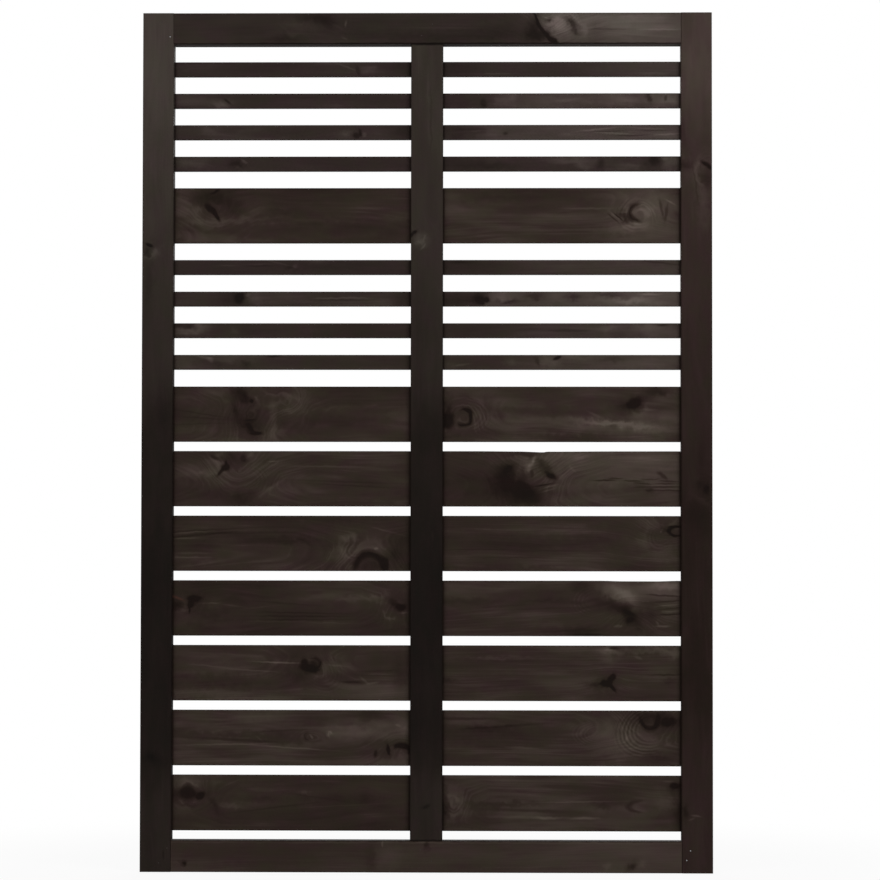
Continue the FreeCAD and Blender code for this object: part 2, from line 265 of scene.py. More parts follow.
def stained_spruce(piece, tone, pith, cast=0.0, grey=0.0, contrast=1.0, fade=(), **marks):
    """Planed spruce under a dark dip stain, for one piece: pale latewood lines on a near-black brown,
    streaks and threads of fibres, soft unevenness of the stain, and the piece's own knots and marks.

    tone is the piece's depth of stain, from 0, black, to 1, pale, to which fade adds tones at
    heights in mm: a painted sheen, lighter where the lamps' reflection fell. pith is how far the log's
    centre lies from the piece's centre, across its face and in depth, in mm. cast makes the piece redder,
    grey takes out colour and contrast is that of the grain. Marks are lists by kind: a mark is its place
    on the panel's face and its half width and height in mm, then its amount, and its turn in degrees. The
    last two are left out where they are 0.
    """
    low, high = (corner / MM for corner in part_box(piece))
    centre = (low + high) / 2
    size = high - low
    upright = size.z > size.x
    # The seed shifts the patterns, so that each piece has its own
    seed = sorted(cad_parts).index(piece)

    material = bpy.data.materials.new(f"dark_stained_planed_spruce.{piece}")
    material.use_nodes = True
    tree = material.node_tree
    add = partial(add_node, tree)
    shader = tree.nodes["Principled BSDF"]

    # Places in mm on the panel, and in the log, whose pith is the x axis
    coordinates = add("ShaderNodeTexCoord").outputs["Object"]
    place = add("ShaderNodeVectorMath", {0: coordinates, "Scale": 1 / MM}, operation="SCALE")
    across, depth = pith
    pith_place = centre + Vector((across, depth, 0) if upright else (0, depth, across))
    log_turn = -math.pi / 2 if upright else 0.0
    rotation = (0, log_turn + GRAIN_SLOPE * math.sin(seed), GRAIN_DIVE)
    log = add(
        "ShaderNodeMapping", {"Vector": place, "Location": pith_place, "Rotation": rotation},
        vector_type="TEXTURE",
    )
    change, washes, outlines = add_marks(add, place, low.y, marks, cast)

    # Growth rings round the pith, pushed aside by the knots. They show in groups.
    wander = patches(add, log, WANDER_SIZE, 1.7 * seed, Detail=1.0, Roughness=0.3)
    cross_section = add("ShaderNodeVectorMath", {0: log, 1: (0, 1, 1)}, operation="MULTIPLY")
    radius = add("ShaderNodeVectorMath", {0: cross_section}, operation="LENGTH").outputs["Value"]
    wandering = add("ShaderNodeMath", {0: wander, 1: RING_WANDER, 2: radius}, operation="MULTIPLY_ADD")
    ring_radius = add("ShaderNodeMath", {0: wandering, 1: change.outputs["X"]}, operation="ADD")
    years = add(
        "ShaderNodeMath", {0: ring_radius, 1: 1 / RING_PITCH, 2: 17.0 * seed}, operation="MULTIPLY_ADD"
    )
    season = add("ShaderNodeTexNoise", {"W": years, "Scale": 0.3, "Detail": 2.0}, noise_dimensions="1D")
    uneven_years = add("ShaderNodeMath", {0: season, 1: 3.0, 2: years}, operation="MULTIPLY_ADD")
    growth = add("ShaderNodeMath", {0: uneven_years}, operation="FRACT")
    latewood = set_stops(
        add("ShaderNodeValToRGB", {"Fac": growth}), [(at, (v, v, v, 1)) for at, v in LATEWOOD]
    )
    least, most = RINGS_SHOWN
    shown = add(
        "ShaderNodeMapRange",
        {"Value": season, "From Min": 0.4, "From Max": 0.65, "To Min": least, "To Max": most},
    )
    bent = add(
        "ShaderNodeMath", {0: change.outputs["X"], 1: BENT_RINGS_SHOWN, 2: shown}, operation="MULTIPLY_ADD"
    )
    clear = add("ShaderNodeMath", {0: bent, 1: 1.0}, operation="MINIMUM")
    line = add("ShaderNodeMath", {0: latewood, 1: clear}, operation="MULTIPLY")

    # Streaks and threads of fibres run along the log, and round the knots with the rings
    along = add("ShaderNodeSeparateXYZ", {0: log})
    lean = add(
        "ShaderNodeMath", {0: along.outputs["Z"], 1: STREAK_LEAN / STREAK_SIZE[1]}, operation="MULTIPLY"
    )
    fibres = []
    for (length, width), shift, detail, roughness in (
        (STREAK_SIZE, 9.1 * seed, 3.5, 0.55),
        (THREAD_SIZE, 4.3 * seed, 1.5, 0.5),
    ):
        run = add(
            "ShaderNodeMath", {0: along.outputs["X"], 1: 1 / length, 2: shift}, operation="MULTIPLY_ADD"
        )
        rise = add("ShaderNodeMath", {0: ring_radius, 1: 1 / width}, operation="MULTIPLY")
        fibre_place = add("ShaderNodeCombineXYZ", {"X": run, "Y": rise, "Z": lean})
        fibres.append(add(
            "ShaderNodeTexNoise",
            {"Vector": fibre_place, "Scale": 1.0, "Detail": detail, "Roughness": roughness},
        ))
    streak, thread = fibres

    # Patches where the wood drank more or less stain, and where it is redder or greener
    patch = patches(add, log, STAIN_PATCH_SIZE, 5.3 * seed, Detail=2.0)
    hue = patches(add, log, HUE_PATCH_SIZE, 3.1 * seed, Detail=2.0)

    # Depth of stain: the piece's own, then rings, threads, streaks and patches. Threads show best in
    # redder wood.
    stain = tone
    # Painted sheen: tones by height that lighten an upright where the lamps' reflection fell
    if fade:
        level = add("ShaderNodeSeparateXYZ", {0: place}).outputs["Z"]
        share = add("ShaderNodeMath", {0: level, 1: PAINTED_SHEEN_TOP}, operation="DIVIDE")
        stops = [(at / PAINTED_SHEEN_TOP, (v, v, v, 1)) for at, v in fade]
        painted_sheen_ramp = set_stops(add("ShaderNodeValToRGB", {"Fac": share}), stops)
        painted_sheen_ramp.color_ramp.interpolation = "EASE"
        stain = add("ShaderNodeMath", {0: painted_sheen_ramp, 1: tone}, operation="ADD")
    plain = add(
        "ShaderNodeMapRange",
        {"Value": hue, "From Min": 0.4, "From Max": 0.62, "To Min": 0.25, "To Max": 1.0},
    )
    even_thread = add("ShaderNodeMath", {0: thread, 1: 0.5}, operation="SUBTRACT")
    threads = add("ShaderNodeMath", {0: even_thread, 1: plain}, operation="MULTIPLY")
    for part, strength, middle in (
        (line, RING_CHANGE, 0.1),
        (threads, THREAD_CHANGE, 0.0),
        (streak, STREAK_CHANGE, 0.5),
        (patch, PATCH_CHANGE, 0.5),
    ):
        level = add("ShaderNodeMath", {0: part, 1: middle}, operation="SUBTRACT")
        stain = add("ShaderNodeMath", {0: level, 1: contrast * strength, 2: stain}, operation="MULTIPLY_ADD")

    # Marks lighten or darken it. Streaks break the dark ones up, and painted shade darkens the ends at the
    # housings.
    stain = add(
        "ShaderNodeMath", {0: change.outputs["Z"], 1: PALE_CHANGE, 2: stain}, operation="MULTIPLY_ADD"
    )
    mottle = add("ShaderNodeMath", {0: streak, 1: 1.2, 2: 0.4}, operation="MULTIPLY_ADD")
    dark = add("ShaderNodeMath", {0: change.outputs["Y"], 1: mottle}, operation="MULTIPLY")
    # Painted shade: a bay board or slat is darkened over its last few mm before the housing, where the frame
    # shades it
    if not upright and size.x < BAY_BOARD_LIMIT:
        sideways = add("ShaderNodeSeparateXYZ", {0: place}).outputs["X"]
        offset = add("ShaderNodeMath", {0: sideways, 1: centre.x}, operation="SUBTRACT")
        from_middle = add("ShaderNodeMath", {0: offset}, operation="ABSOLUTE")
        shoulder = size.x / 2 - HOUSED
        painted_end_shade = add(
            "ShaderNodeMapRange",
            {
                "Value": from_middle,
                "From Min": shoulder - PAINTED_SHADE_WIDTH,
                "From Max": shoulder,
                "To Max": PAINTED_SHADE_CHANGE,
            },
        )
        dark = add("ShaderNodeMath", {0: dark, 1: painted_end_shade}, operation="SUBTRACT")
    darkening = add("ShaderNodeMath", {0: dark, 1: DEEPEST_CHANGE}, operation="MAXIMUM")
    stain = add("ShaderNodeMath", {0: stain, 1: darkening, 2: stain}, operation="MULTIPLY_ADD")

    # Relief: single raised fibres, and ripples where a cutter chattered
    fibre = patches(add, log, FIBRE_SIZE, 0.0, Detail=1.0)
    relief = fibre
    if washes["chatter"]:
        length = add("ShaderNodeSeparateXYZ", {0: outlines}).outputs["X"]
        turns = add("ShaderNodeMath", {0: length, 1: math.tau / CHATTER_PITCH}, operation="MULTIPLY")
        wave = add("ShaderNodeMath", {0: turns}, operation="SINE")
        cuts = add("ShaderNodeMath", {0: wave, 1: washes["chatter"]}, operation="MULTIPLY")
        stain = add("ShaderNodeMath", {0: cuts, 1: CHATTER_CHANGE, 2: stain}, operation="MULTIPLY_ADD")
        relief = add("ShaderNodeMath", {0: cuts, 1: CHATTER_RELIEF, 2: fibre}, operation="MULTIPLY_ADD")

    # Colour, sheen and relief
    colours = []
    for ladder in (OLIVE, RUSSET):
        stops = [(i / (len(ladder) - 1), linear(colour)) for i, colour in enumerate(ladder)]
        colours.append(set_stops(add("ShaderNodeValToRGB", {"Fac": stain}), stops))
    leaning = add("ShaderNodeMath", {0: hue, 1: REDNESS_SPREAD, 2: REDNESS_START}, operation="MULTIPLY_ADD")
    redness = add("ShaderNodeMath", {0: leaning, 1: washes["russet"]}, operation="ADD", use_clamp=True)
    mixed = add("ShaderNodeMix", {"Factor": redness, "A": colours[0], "B": colours[1]}, data_type="RGBA")
    weathered = add("ShaderNodeHueSaturation", {"Color": mixed.outputs["Result"], "Saturation": 1 - grey})
    wood = weathered.outputs["Color"]
    if washes["resin"]:
        stuck = add(
            "ShaderNodeMix", {"Factor": washes["resin"], "A": wood, "B": linear(RESIN)}, data_type="RGBA"
        )
        wood = stuck.outputs["Result"]
    tree.links.new(wood, shader.inputs["Base Color"])
    sheen = add("ShaderNodeMath", {0: fibre, 1: 0.2, 2: 0.66}, operation="MULTIPLY_ADD")
    tree.links.new(sheen.outputs[0], shader.inputs["Roughness"])
    bump = add("ShaderNodeBump", {"Strength": 0.5, "Distance": 0.2 * MM, "Height": relief})
    tree.links.new(bump.outputs[0], shader.inputs["Normal"])
    shader.inputs["Specular IOR Level"].default_value = 0.06
    return material


def dress(piece, **look):
    """Gives a CAD timber its own stained wood."""
    material = stained_spruce(piece, **look)
    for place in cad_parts[piece].material_slots:
        place.material = material


dress(
    "left_stile", tone=0.0, pith=(-38, 30), cast=-0.1, grey=0.2, contrast=0.4,
    # Painted sheen: lighter towards the top and the foot, where the lamps' reflection fell
    fade=((100, 0.32), (280, 0.14), (600, 0.1), (850, 0.2), (1100, 0.41), (1400, 0.54), (1700, 0.64)),
    bulge=[(16, 1305, 10, 14)],
    core=[(15, 1311, 7, 3, 0.95, -20), (50, 36, 2, 9, 0.4)],
    smoke=[
        (12, 1296, 8, 8, 0.35), (12, 1230, 9, 40, 0.2), (44, 952, 16, 30, 0.4), (22, 238, 11, 9, 0.75),
        (42, 232, 26, 12, 0.4, -15),
    ],
    rim=[(15, 1300, 13, 15, 0.6, -60)],
    russet=[(30, 1560, 22, 120, 0.7), (40, 960, 30, 40, -0.8)],
)
dress(
    "right_stile", tone=0.0, pith=(30, 45), cast=0.25, contrast=0.5,
    # Painted sheen: lighter towards the top and the foot, where the lamps' reflection fell
    fade=((100, 0.4), (400, 0.24), (700, 0.26), (1000, 0.36), (1250, 0.47), (1500, 0.54), (1720, 0.64)),
    bulge=[(1186, 1470, 14, 22), (1180, 799, 12, 16)],
    core=[
        (1183, 1480, 11, 3.5, 0.9, -32), (1191, 1472, 6, 3, 0.7, -20), (1160, 1440, 1.6, 40, 0.12, 8),
        (1182, 799, 6, 9, 0.9),
    ],
    smoke=[
        (1184, 1448, 13, 17, 0.35), (1140, 1478, 12, 6, 0.35), (1172, 810, 9, 7, 0.4),
        (1158, 745, 22, 26, 0.35), (1136, 128, 6, 12, 0.5),
    ],
    pale=[(1174, 1395, 9, 50, 0.25), (1148, 1690, 14, 70, 0.2), (1172, 776, 16, 7, 0.35, -35)],
    fleck=[(1160, 119, 11, 2.6, 0.7, -8), (1150, 112, 8, 2.4, 0.5, 20)],
    rim=[(1180, 1462, 18, 24, 0.5, 190)],
    russet=[(1145, 1480, 16, 10, 1.0), (1160, 95, 22, 20, 0.8)],
)


# Rails
#
# The level members between the stiles, tenoned into them: the same planed spruce and stain. The top
# one has a large knot that the plane tore, and cutter chatter towards its paler right end.

dress(
    "top_rail", tone=0.44, pith=(-50, 25), grey=0.15, contrast=0.7,
    bulge=[(848, 1766, 32, 26)],
    core=[
        (828, 1786, 15, 2.2, 1.0, -68), (845, 1757, 24, 2.8, 1.0, -50), (862, 1741, 11, 5, 0.9, -25),
        # The long core at 1735 mm is painted shade: a dark line along the rail's lower arris, which faces
        # down
        (970, 1765, 40, 1.6, 0.15), (597, 1735, 600, 1.6, 0.7),
    ],
    smoke=[
        (300, 1745, 34, 9, 0.3), (362, 1790, 32, 9, 0.4), (388, 1778, 12, 16, 0.3, 30),
        (600, 1750, 170, 12, 0.22), (760, 1760, 50, 18, 0.15), (822, 1762, 15, 22, 0.6, -10),
        (846, 1749, 13, 9, 0.65, -20), (855, 1783, 6, 6, 0.45), (904, 1768, 15, 6, 0.4, -55),
        (897, 1782, 12, 4, 0.35, -30),
    ],
    pale=[
        (330, 1774, 40, 14, 0.35), (870, 1776, 36, 26, 1.2), (1040, 1767, 150, 60, 1.0),
        (990, 1785, 80, 10, 0.3), (1060, 1767, 110, 40, 0.3),
    ],
    fleck=[
        (300, 1764, 16, 2.6, 0.15, -40), (408, 1772, 20, 2.4, 0.25, -28), (400, 1760, 20, 2, 0.15, -20),
        (427, 1777, 2.6, 8, 0.75, -10), (424, 1746, 7, 2.6, 0.45, -20), (630, 1768, 80, 1.8, 0.3),
        (842, 1749, 7, 1.8, 0.6, -42), (850, 1788, 7, 2, 0.5, -20), (1090, 1764, 40, 1.8, 0.4),
    ],
    rim=[(910, 1764, 20, 14, 0.4, -20)],
    russet=[(140, 1765, 70, 24, 0.6), (820, 1756, 26, 26, 1.0), (906, 1766, 18, 14, 0.8)],
    chatter=[(1030, 1772, 22, 22, 1.0)],
)
dress(
    "bottom_rail", tone=0.54, pith=(60, 40), contrast=0.5,
    # The long core along 66 mm is painted shade on the rail's top edge
    core=[(597, 66, 600, 1.0, 0.6)],
    smoke=[
        (93, 21, 5, 4, 0.8), (230, 40, 170, 24, 0.12), (484, 34, 10, 26, 0.15), (598, 58, 5, 8, 0.5),
        (1024, 14, 8, 6, 0.6, 45),
    ],
    pale=[
        (520, 36, 26, 24, 0.35), (1000, 34, 190, 44, 0.3), (975, 14, 6, 5, 0.35, 30),
        (1046, 18, 8, 10, 0.3),
    ],
    # The long fleck along 62 mm is a painted highlight on the rail's top arris
    fleck=[(506, 60, 2, 6, 0.6), (594, 64, 16, 1.6, 0.4), (597, 62, 600, 1.3, 0.3)],
    russet=[(520, 36, 34, 24, -1.0), (860, 30, 110, 22, -0.9), (1090, 30, 40, 20, 0.6)],
)


# Mullion
#
# The upright in the middle, tenoned into both rails and housed on both sides.

dress(
    "mullion", tone=0.0, pith=(20, -60), cast=-0.1, grey=0.2, contrast=0.4,
    # Painted sheen: lighter towards the top and the foot, where the lamps' reflection fell
    fade=((130, 0.34), (320, 0.1), (600, 0.08), (850, 0.19), (1100, 0.37), (1400, 0.49), (1700, 0.51)),
    bulge=[(576, 1330, 12, 14)],
    core=[
        (571, 1337, 6, 3.5, 1.0, 28), (566, 1331, 3, 3, 0.8), (606, 1560, 1.8, 70, 0.1),
        (597, 1733, 60, 1.6, 0.8), (597, 67, 60, 1.6, 0.8),
    ],
    smoke=[(600, 920, 26, 40, 0.25), (597, 137, 7, 3, 0.6, 20)],
    pale=[(582, 1324, 10, 9, 0.35)],
    fleck=[(590, 1307, 8, 2, 0.4, 50), (600, 1640, 1.8, 40, 0.12), (611, 700, 2, 10, 0.35)],
    rim=[(582, 1328, 15, 13, 0.6, -50)],
    russet=[(597, 180, 26, 60, -0.6)],
)


# Boards
#
# Wide boards, 116 by 16 mm, flat-sawn and planed, standing in housings at both ends. Flat sawing shows
# long pale arches of latewood, and each board has its own knots.

dress(
    "left_belt_board", tone=0.45, pith=(-30, 60),
    bulge=[(150, 1382, 24, 20)],
    core=[(142, 1388, 13, 6, 0.85, -35), (154, 1374, 12, 3.5, 1.0, -58), (152, 1424, 8, 2, 0.8, 25)],
    smoke=[
        (150, 1412, 50, 17, 0.42), (192, 1388, 26, 18, 0.28), (370, 1342, 170, 12, 0.16),
        (290, 1383, 34, 7, 0.2), (360, 1431, 110, 3, 0.3),
    ],
    pale=[
        (88, 1402, 22, 28, 0.6), (165, 1362, 60, 8, 0.35, 3), (225, 1388, 26, 18, 0.2),
        (350, 1366, 160, 5, 0.25, 1),
    ],
    rim=[(148, 1384, 38, 32, 0.45, -125)],
    russet=[(90, 1408, 22, 30, 0.6), (370, 1338, 180, 16, 0.5), (380, 1412, 130, 14, -0.5)],
)
dress(
    "right_belt_board", tone=0.53, pith=(25, 50),
    bulge=[(1046, 1381, 20, 15)],
    core=[
        (1000, 1370, 12, 1.4, 0.4, -42), (988, 1368, 12, 1.4, 0.35, -40), (1090, 1388, 3, 18, 0.25, 10),
        (1100, 1380, 3, 16, 0.25, -10),
    ],
    smoke=[(1012, 1371, 14, 7, 0.45, -30), (760, 1412, 70, 6, 0.18), (790, 1428, 50, 6, 0.2)],
    pale=[(1022, 1347, 48, 10, 0.55, 8), (1060, 1378, 75, 50, 0.42), (1082, 1412, 24, 16, 0.3, 20)],
    fleck=[
        (990, 1374, 12, 1.6, 0.4, -40), (1009, 1380, 7, 2.5, 0.6), (1108, 1402, 12, 2, 0.5, -28),
        (932, 1389, 46, 2, 0.35),
    ],
    crescent=[(1047, 1381, 24, 20, 0.6, 190)],
    rim=[(1048, 1381, 17, 14, 0.2, 30)],
    arcs=[(1046, 1381, 44, 34, 0.25, 205)],
    russet=[(950, 1390, 60, 24, 0.5), (750, 1372, 130, 40, -0.5)],
)
dress(
    "left_low_board_7", tone=0.45, pith=(-5, 70),
    bulge=[(226, 955, 32, 34), (306, 978, 24, 16)],
    core=[
        (230, 984, 3.5, 3.5, 0.95), (226, 929, 11, 4, 0.8, -45), (240, 916, 10, 3, 1.0),
        (226, 944, 10, 1.6, 0.6, 5), (120, 958, 60, 1.4, 0.18, -9), (130, 948, 55, 1.4, 0.18, -4),
        (120, 936, 60, 1.4, 0.15, 2),
    ],
    smoke=[
        (206, 1003, 17, 13, 0.6), (217, 988, 12, 8, 0.6, -30), (197, 963, 5, 18, 0.45, 10),
        (232, 944, 26, 24, 0.22), (222, 928, 20, 12, 0.5, -30), (405, 942, 110, 9, 0.2),
    ],
    pale=[
        (274, 952, 9, 34, 0.5), (276, 918, 26, 16, 0.3), (120, 994, 66, 15, 0.3), (325, 1004, 34, 12, 0.2),
        (440, 969, 80, 5, 0.22),
    ],
    rim=[(226, 978, 16, 17, 0.5, 10), (290, 978, 40, 18, 0.4)],
    russet=[(232, 950, 30, 34, 0.7), (120, 1000, 60, 14, 0.5), (325, 1004, 34, 12, 1.0)],
)
dress(
    "right_low_board_7", tone=0.53, pith=(8, 55),
    bulge=[(674, 952, 24, 20)],
    core=[(641, 940, 10, 14, 0.9, 25), (684, 964, 8, 3, 0.95, -22), (1034, 981, 15, 9, 0.8, 25)],
    smoke=[
        (643, 958, 9, 20, 0.6), (670, 955, 14, 11, 0.16), (1026, 976, 24, 11, 0.5, 10),
        (1070, 1004, 16, 9, 0.35, 20), (1092, 1003, 12, 5, 0.3), (830, 965, 90, 8, 0.14),
        (900, 907, 70, 6, 0.2), (650, 908, 40, 7, 0.2),
    ],
    pale=[
        (1086, 994, 16, 8, 0.2), (960, 939, 60, 5, 0.75, -3), (1045, 930, 50, 7, 0.6, -6),
        (1000, 935, 130, 18, 0.25), (1095, 925, 50, 22, 0.3), (840, 930, 120, 14, 0.12),
    ],
    fleck=[(638, 922, 7, 6, 0.4), (950, 955, 16, 3, 0.35, -25), (1055, 966, 20, 2.5, 0.35)],
    crescent=[(673, 951, 21, 17, 0.9, -45), (675, 952, 19, 15, 0.5, 45)],
    rim=[(1035, 980, 28, 16, 0.4, -60)],
    arcs=[(678, 952, 44, 32, 0.3)],
    russet=[
        (640, 950, 12, 20, 0.6), (1034, 980, 24, 14, 0.9), (1084, 997, 26, 14, 1.6),
        (752, 984, 18, 12, 0.8), (900, 991, 90, 3, 0.8),
    ],
)
dress(
    "left_low_board_6", tone=0.49, pith=(-10, 48),
    bulge=[(205, 835, 40, 30)],
    core=[
        (176, 845, 8, 6, 0.9, 10), (166, 836, 10, 3, 0.7, 50), (176, 853, 3, 7, 0.55),
        (213, 862, 6, 8, 0.5), (152, 866, 10, 3, 0.45, -25), (440, 814, 90, 1.8, 0.21, -2),
        (450, 806, 80, 1.6, 0.21, -3),
    ],
    smoke=[
        (190, 862, 20, 13, 0.35), (210, 779, 26, 15, 0.42), (500, 782, 100, 10, 0.16),
        (110, 800, 50, 20, 0.12),
    ],
    pale=[
        (230, 868, 8, 9, 0.3), (135, 833, 20, 4, 0.35, 5), (95, 836, 26, 14, 0.25),
        (272, 802, 28, 3.5, 0.35, 35), (450, 842, 70, 10, 0.18),
    ],
    fleck=[(275, 857, 10, 1.6, 0.5), (390, 847, 70, 2, 0.3)],
    rim=[(186, 857, 28, 18, 0.6, 160), (200, 868, 30, 9, 0.35, 75)],
    arcs=[(222, 818, 38, 30, 0.22, -10)],
    russet=[
        (190, 862, 26, 14, -0.6), (105, 838, 44, 22, 0.9), (212, 782, 30, 18, 0.9),
        (410, 818, 140, 34, -0.45), (330, 864, 60, 3, 0.9),
    ],
)
dress(
    "left_low_board_5", tone=0.45, pith=(-28, 40),
    bulge=[(478, 640, 44, 34)],
    core=[
        (510, 640, 7, 13, 1.0), (120, 703, 70, 2.2, 0.3, 5), (150, 714, 90, 2, 0.27, 3),
        (240, 708, 90, 2.4, 0.24, 1),
    ],
    smoke=[
        (482, 638, 22, 12, 0.25), (532, 660, 18, 18, 0.45), (545, 690, 20, 18, 0.3),
        (300, 692, 100, 8, 0.3, -2), (330, 737, 150, 7, 0.2),
    ],
    pale=[(172, 690, 36, 7, 0.3, 5), (110, 648, 44, 9, 0.3), (420, 648, 40, 12, 0.25)],
    fleck=[
        (492, 675, 5, 2.5, 0.6), (520, 710, 40, 2, 0.35, -14), (100, 708, 44, 1.8, 0.5, 4),
        (92, 696, 34, 1.8, 0.55, 1), (110, 665, 40, 2.4, 0.4), (100, 656, 40, 1.6, 0.4),
    ],
    crescent=[(478, 625, 40, 31, 1.0, 95)],
    rim=[(478, 628, 46, 42, 0.35, 80), (447, 678, 29, 25, 0.5, 160)],
    arcs=[(450, 672, 22, 18, 0.4, 200)],
    russet=[
        (480, 638, 26, 14, -0.7), (150, 662, 24, 12, 0.8), (320, 664, 130, 22, -0.5),
        (410, 724, 26, 8, 1.0), (520, 720, 26, 8, 1.0),
    ],
)
dress(
    "right_low_board_5", tone=0.49, pith=(-70, 30),
    bulge=[(1100, 708, 36, 26)],
    core=[
        (1118, 721, 13, 2, 0.8), (1118, 703, 13, 2, 0.8), (720, 673, 70, 1.5, 0.21),
        (850, 670, 60, 1.5, 0.15), (760, 656, 60, 1.3, 0.15),
    ],
    smoke=[(1100, 716, 10, 7, 0.4), (850, 686, 190, 12, 0.2), (750, 634, 120, 5, 0.18)],
    pale=[(1098, 652, 30, 22, 0.35, 30), (910, 712, 90, 9, 0.22), (740, 711, 40, 4, 0.2)],
    fleck=[(1089, 712, 5, 2, 0.5, 60)],
    crescent=[(1123, 712, 19, 11, 1.0, 180)],
    rim=[(1092, 702, 44, 30, 0.35, 215)],
    arcs=[(1092, 704, 30, 22, 0.3, 225)],
    russet=[
        (1120, 712, 14, 9, 1.2), (1085, 676, 24, 10, 0.9), (850, 722, 210, 12, -0.6),
        (850, 680, 210, 16, 0.7), (1020, 741, 80, 3, 1.0), (725, 728, 22, 9, 1.2),
    ],
)
dress(
    "left_low_board_4", tone=0.43, pith=(2, 60),
    bulge=[(92, 562, 24, 14), (535, 550, 22, 20)],
    core=[
        (113, 570, 13, 5, 0.95), (104, 560, 5, 9, 0.9), (102, 547, 1.6, 7, 0.8), (330, 533, 100, 1.8, 0.24),
        (340, 540, 80, 1.6, 0.21, -1), (350, 526, 90, 1.6, 0.21), (300, 560, 60, 1.8, 0.18, -4),
        (544, 552, 10, 6, 0.95),
    ],
    smoke=[
        (74, 556, 11, 9, 0.6), (112, 566, 20, 14, 0.35), (150, 540, 40, 9, 0.25), (330, 540, 130, 16, 0.16),
        (530, 560, 11, 7, 0.55, -20),
    ],
    pale=[(88, 512, 24, 15, 0.35), (470, 572, 60, 5, 0.35, 2), (502, 562, 18, 7, 0.4, -30)],
    fleck=[
        (142, 560, 26, 1.8, 0.5, 3), (192, 555, 28, 1.8, 0.4, -8), (280, 522, 60, 1.6, 0.35),
        (400, 519, 60, 1.4, 0.25, -1), (250, 552, 40, 1.6, 0.3, 6), (548, 541, 9, 2.5, 0.6),
    ],
    rim=[(80, 556, 16, 13, 0.5, -55), (523, 543, 12, 14, 0.6, -120)],
    russet=[
        (76, 569, 16, 6, 1.5, -22), (170, 540, 60, 14, 0.6), (430, 592, 110, 10, -0.6),
        (508, 545, 11, 8, 0.8), (478, 499, 26, 4, 1.2),
    ],
    resin=[(75, 571, 14, 2.8, 0.9, -20)],
)
dress(
    "left_low_board_3", tone=0.51, pith=(20, 45),
    bulge=[(354, 430, 26, 18)],
    core=[
        (351, 425, 17, 7, 1.0, -14), (343, 438, 6, 7, 0.8), (442, 396, 20, 2.4, 0.45),
        (500, 419, 32, 1.4, 0.21, 2),
    ],
    smoke=[
        (366, 432, 13, 10, 0.55), (330, 410, 38, 14, 0.32), (330, 452, 30, 8, 0.2),
        (160, 398, 100, 10, 0.28), (540, 420, 12, 34, 0.25),
    ],
    pale=[(140, 372, 110, 8, 0.32), (440, 380, 70, 12, 0.2)],
    fleck=[
        (292, 436, 48, 1.7, 0.85, -2), (357, 443, 8, 1.6, 0.7), (468, 399, 11, 2.6, 0.4, -40),
        (484, 393, 14, 2.4, 0.4, 10), (500, 412, 30, 1.5, 0.35), (410, 430, 20, 1.8, 0.3, -6),
        (150, 428, 44, 1.5, 0.3, -5), (230, 420, 66, 1.5, 0.35, -3),
    ],
    crescent=[(358, 431, 19, 14, 0.55, 20)],
    rim=[(356, 428, 28, 20, 0.55, -15)],
    arcs=[(372, 424, 48, 34, 0.25, -40)],
    russet=[
        (110, 370, 80, 7, 0.6), (95, 458, 26, 12, 1.0), (542, 452, 4, 9, 1.5, -15),
        (250, 455, 120, 14, -0.3),
    ],
)
dress(
    "right_low_board_3", tone=0.52, pith=(90, 40),
    bulge=[(977, 394, 18, 12)],
    core=[
        (971, 393, 8, 5, 0.95), (982, 401, 12, 4.5, 0.9, 62), (989, 409, 6, 4, 0.55, 70),
        (986, 385, 11, 3.2, 0.85, -48), (990, 467, 9, 2.5, 0.5),
    ],
    smoke=[
        (976, 396, 20, 16, 0.32), (950, 391, 14, 6, 0.38), (1108, 398, 12, 6, 0.25),
        (1100, 412, 30, 1.6, 0.4), (640, 396, 14, 4, 0.3), (740, 400, 90, 16, 0.1),
    ],
    pale=[
        (978, 461, 17, 6, 0.8, -15), (1060, 461, 90, 5, 0.5), (1112, 455, 22, 7, 0.4),
        (975, 447, 12, 8, 0.3), (745, 446, 56, 4, 0.4, 1),
    ],
    fleck=[(1040, 447, 8, 3, 0.4, -20)],
    russet=[
        (975, 393, 30, 18, 0.6), (940, 440, 28, 24, -0.6), (870, 386, 210, 24, 0.6),
        (760, 430, 40, 18, 0.8), (1060, 395, 60, 40, 0.4),
    ],
)
dress(
    "left_low_board_2", tone=0.54, pith=(6, 44),
    bulge=[(357, 281, 16, 7), (545, 255, 22, 18)],
    core=[
        (190, 275, 90, 2.6, 0.25, -3), (300, 294, 60, 1.6, 0.18, 3), (547, 262, 14, 4, 1.0, -4),
        (518, 255, 3, 11, 0.75, 14), (492, 246, 4, 7, 0.6, -14),
    ],
    smoke=[
        (170, 284, 70, 5, 0.2), (300, 277, 60, 9, 0.2), (480, 326, 30, 11, 0.28), (517, 253, 10, 12, 0.25),
    ],
    pale=[
        (445, 292, 52, 11, 0.5), (380, 300, 50, 3, 0.3, 2), (250, 322, 44, 8, 0.25),
        (150, 302, 100, 8, 0.14), (552, 296, 10, 10, 0.45),
    ],
    fleck=[
        (170, 265, 90, 1.8, 0.4, 1), (320, 258, 90, 1.7, 0.5, -4), (250, 276, 10, 2.2, 0.3, -35),
        (357, 281, 5, 2.4, 0.7, -50), (538, 305, 6, 2.5, 0.4, -20),
    ],
    crescent=[(352, 282, 10, 7, 0.3, 180), (546, 249, 18, 16, 0.7, 75)],
    rim=[(400, 284, 7, 5, 0.7, 150)],
    russet=[
        (445, 292, 52, 11, 0.7), (210, 308, 150, 14, 0.5), (480, 326, 30, 11, -0.7),
        (300, 240, 120, 12, -0.3),
    ],
)
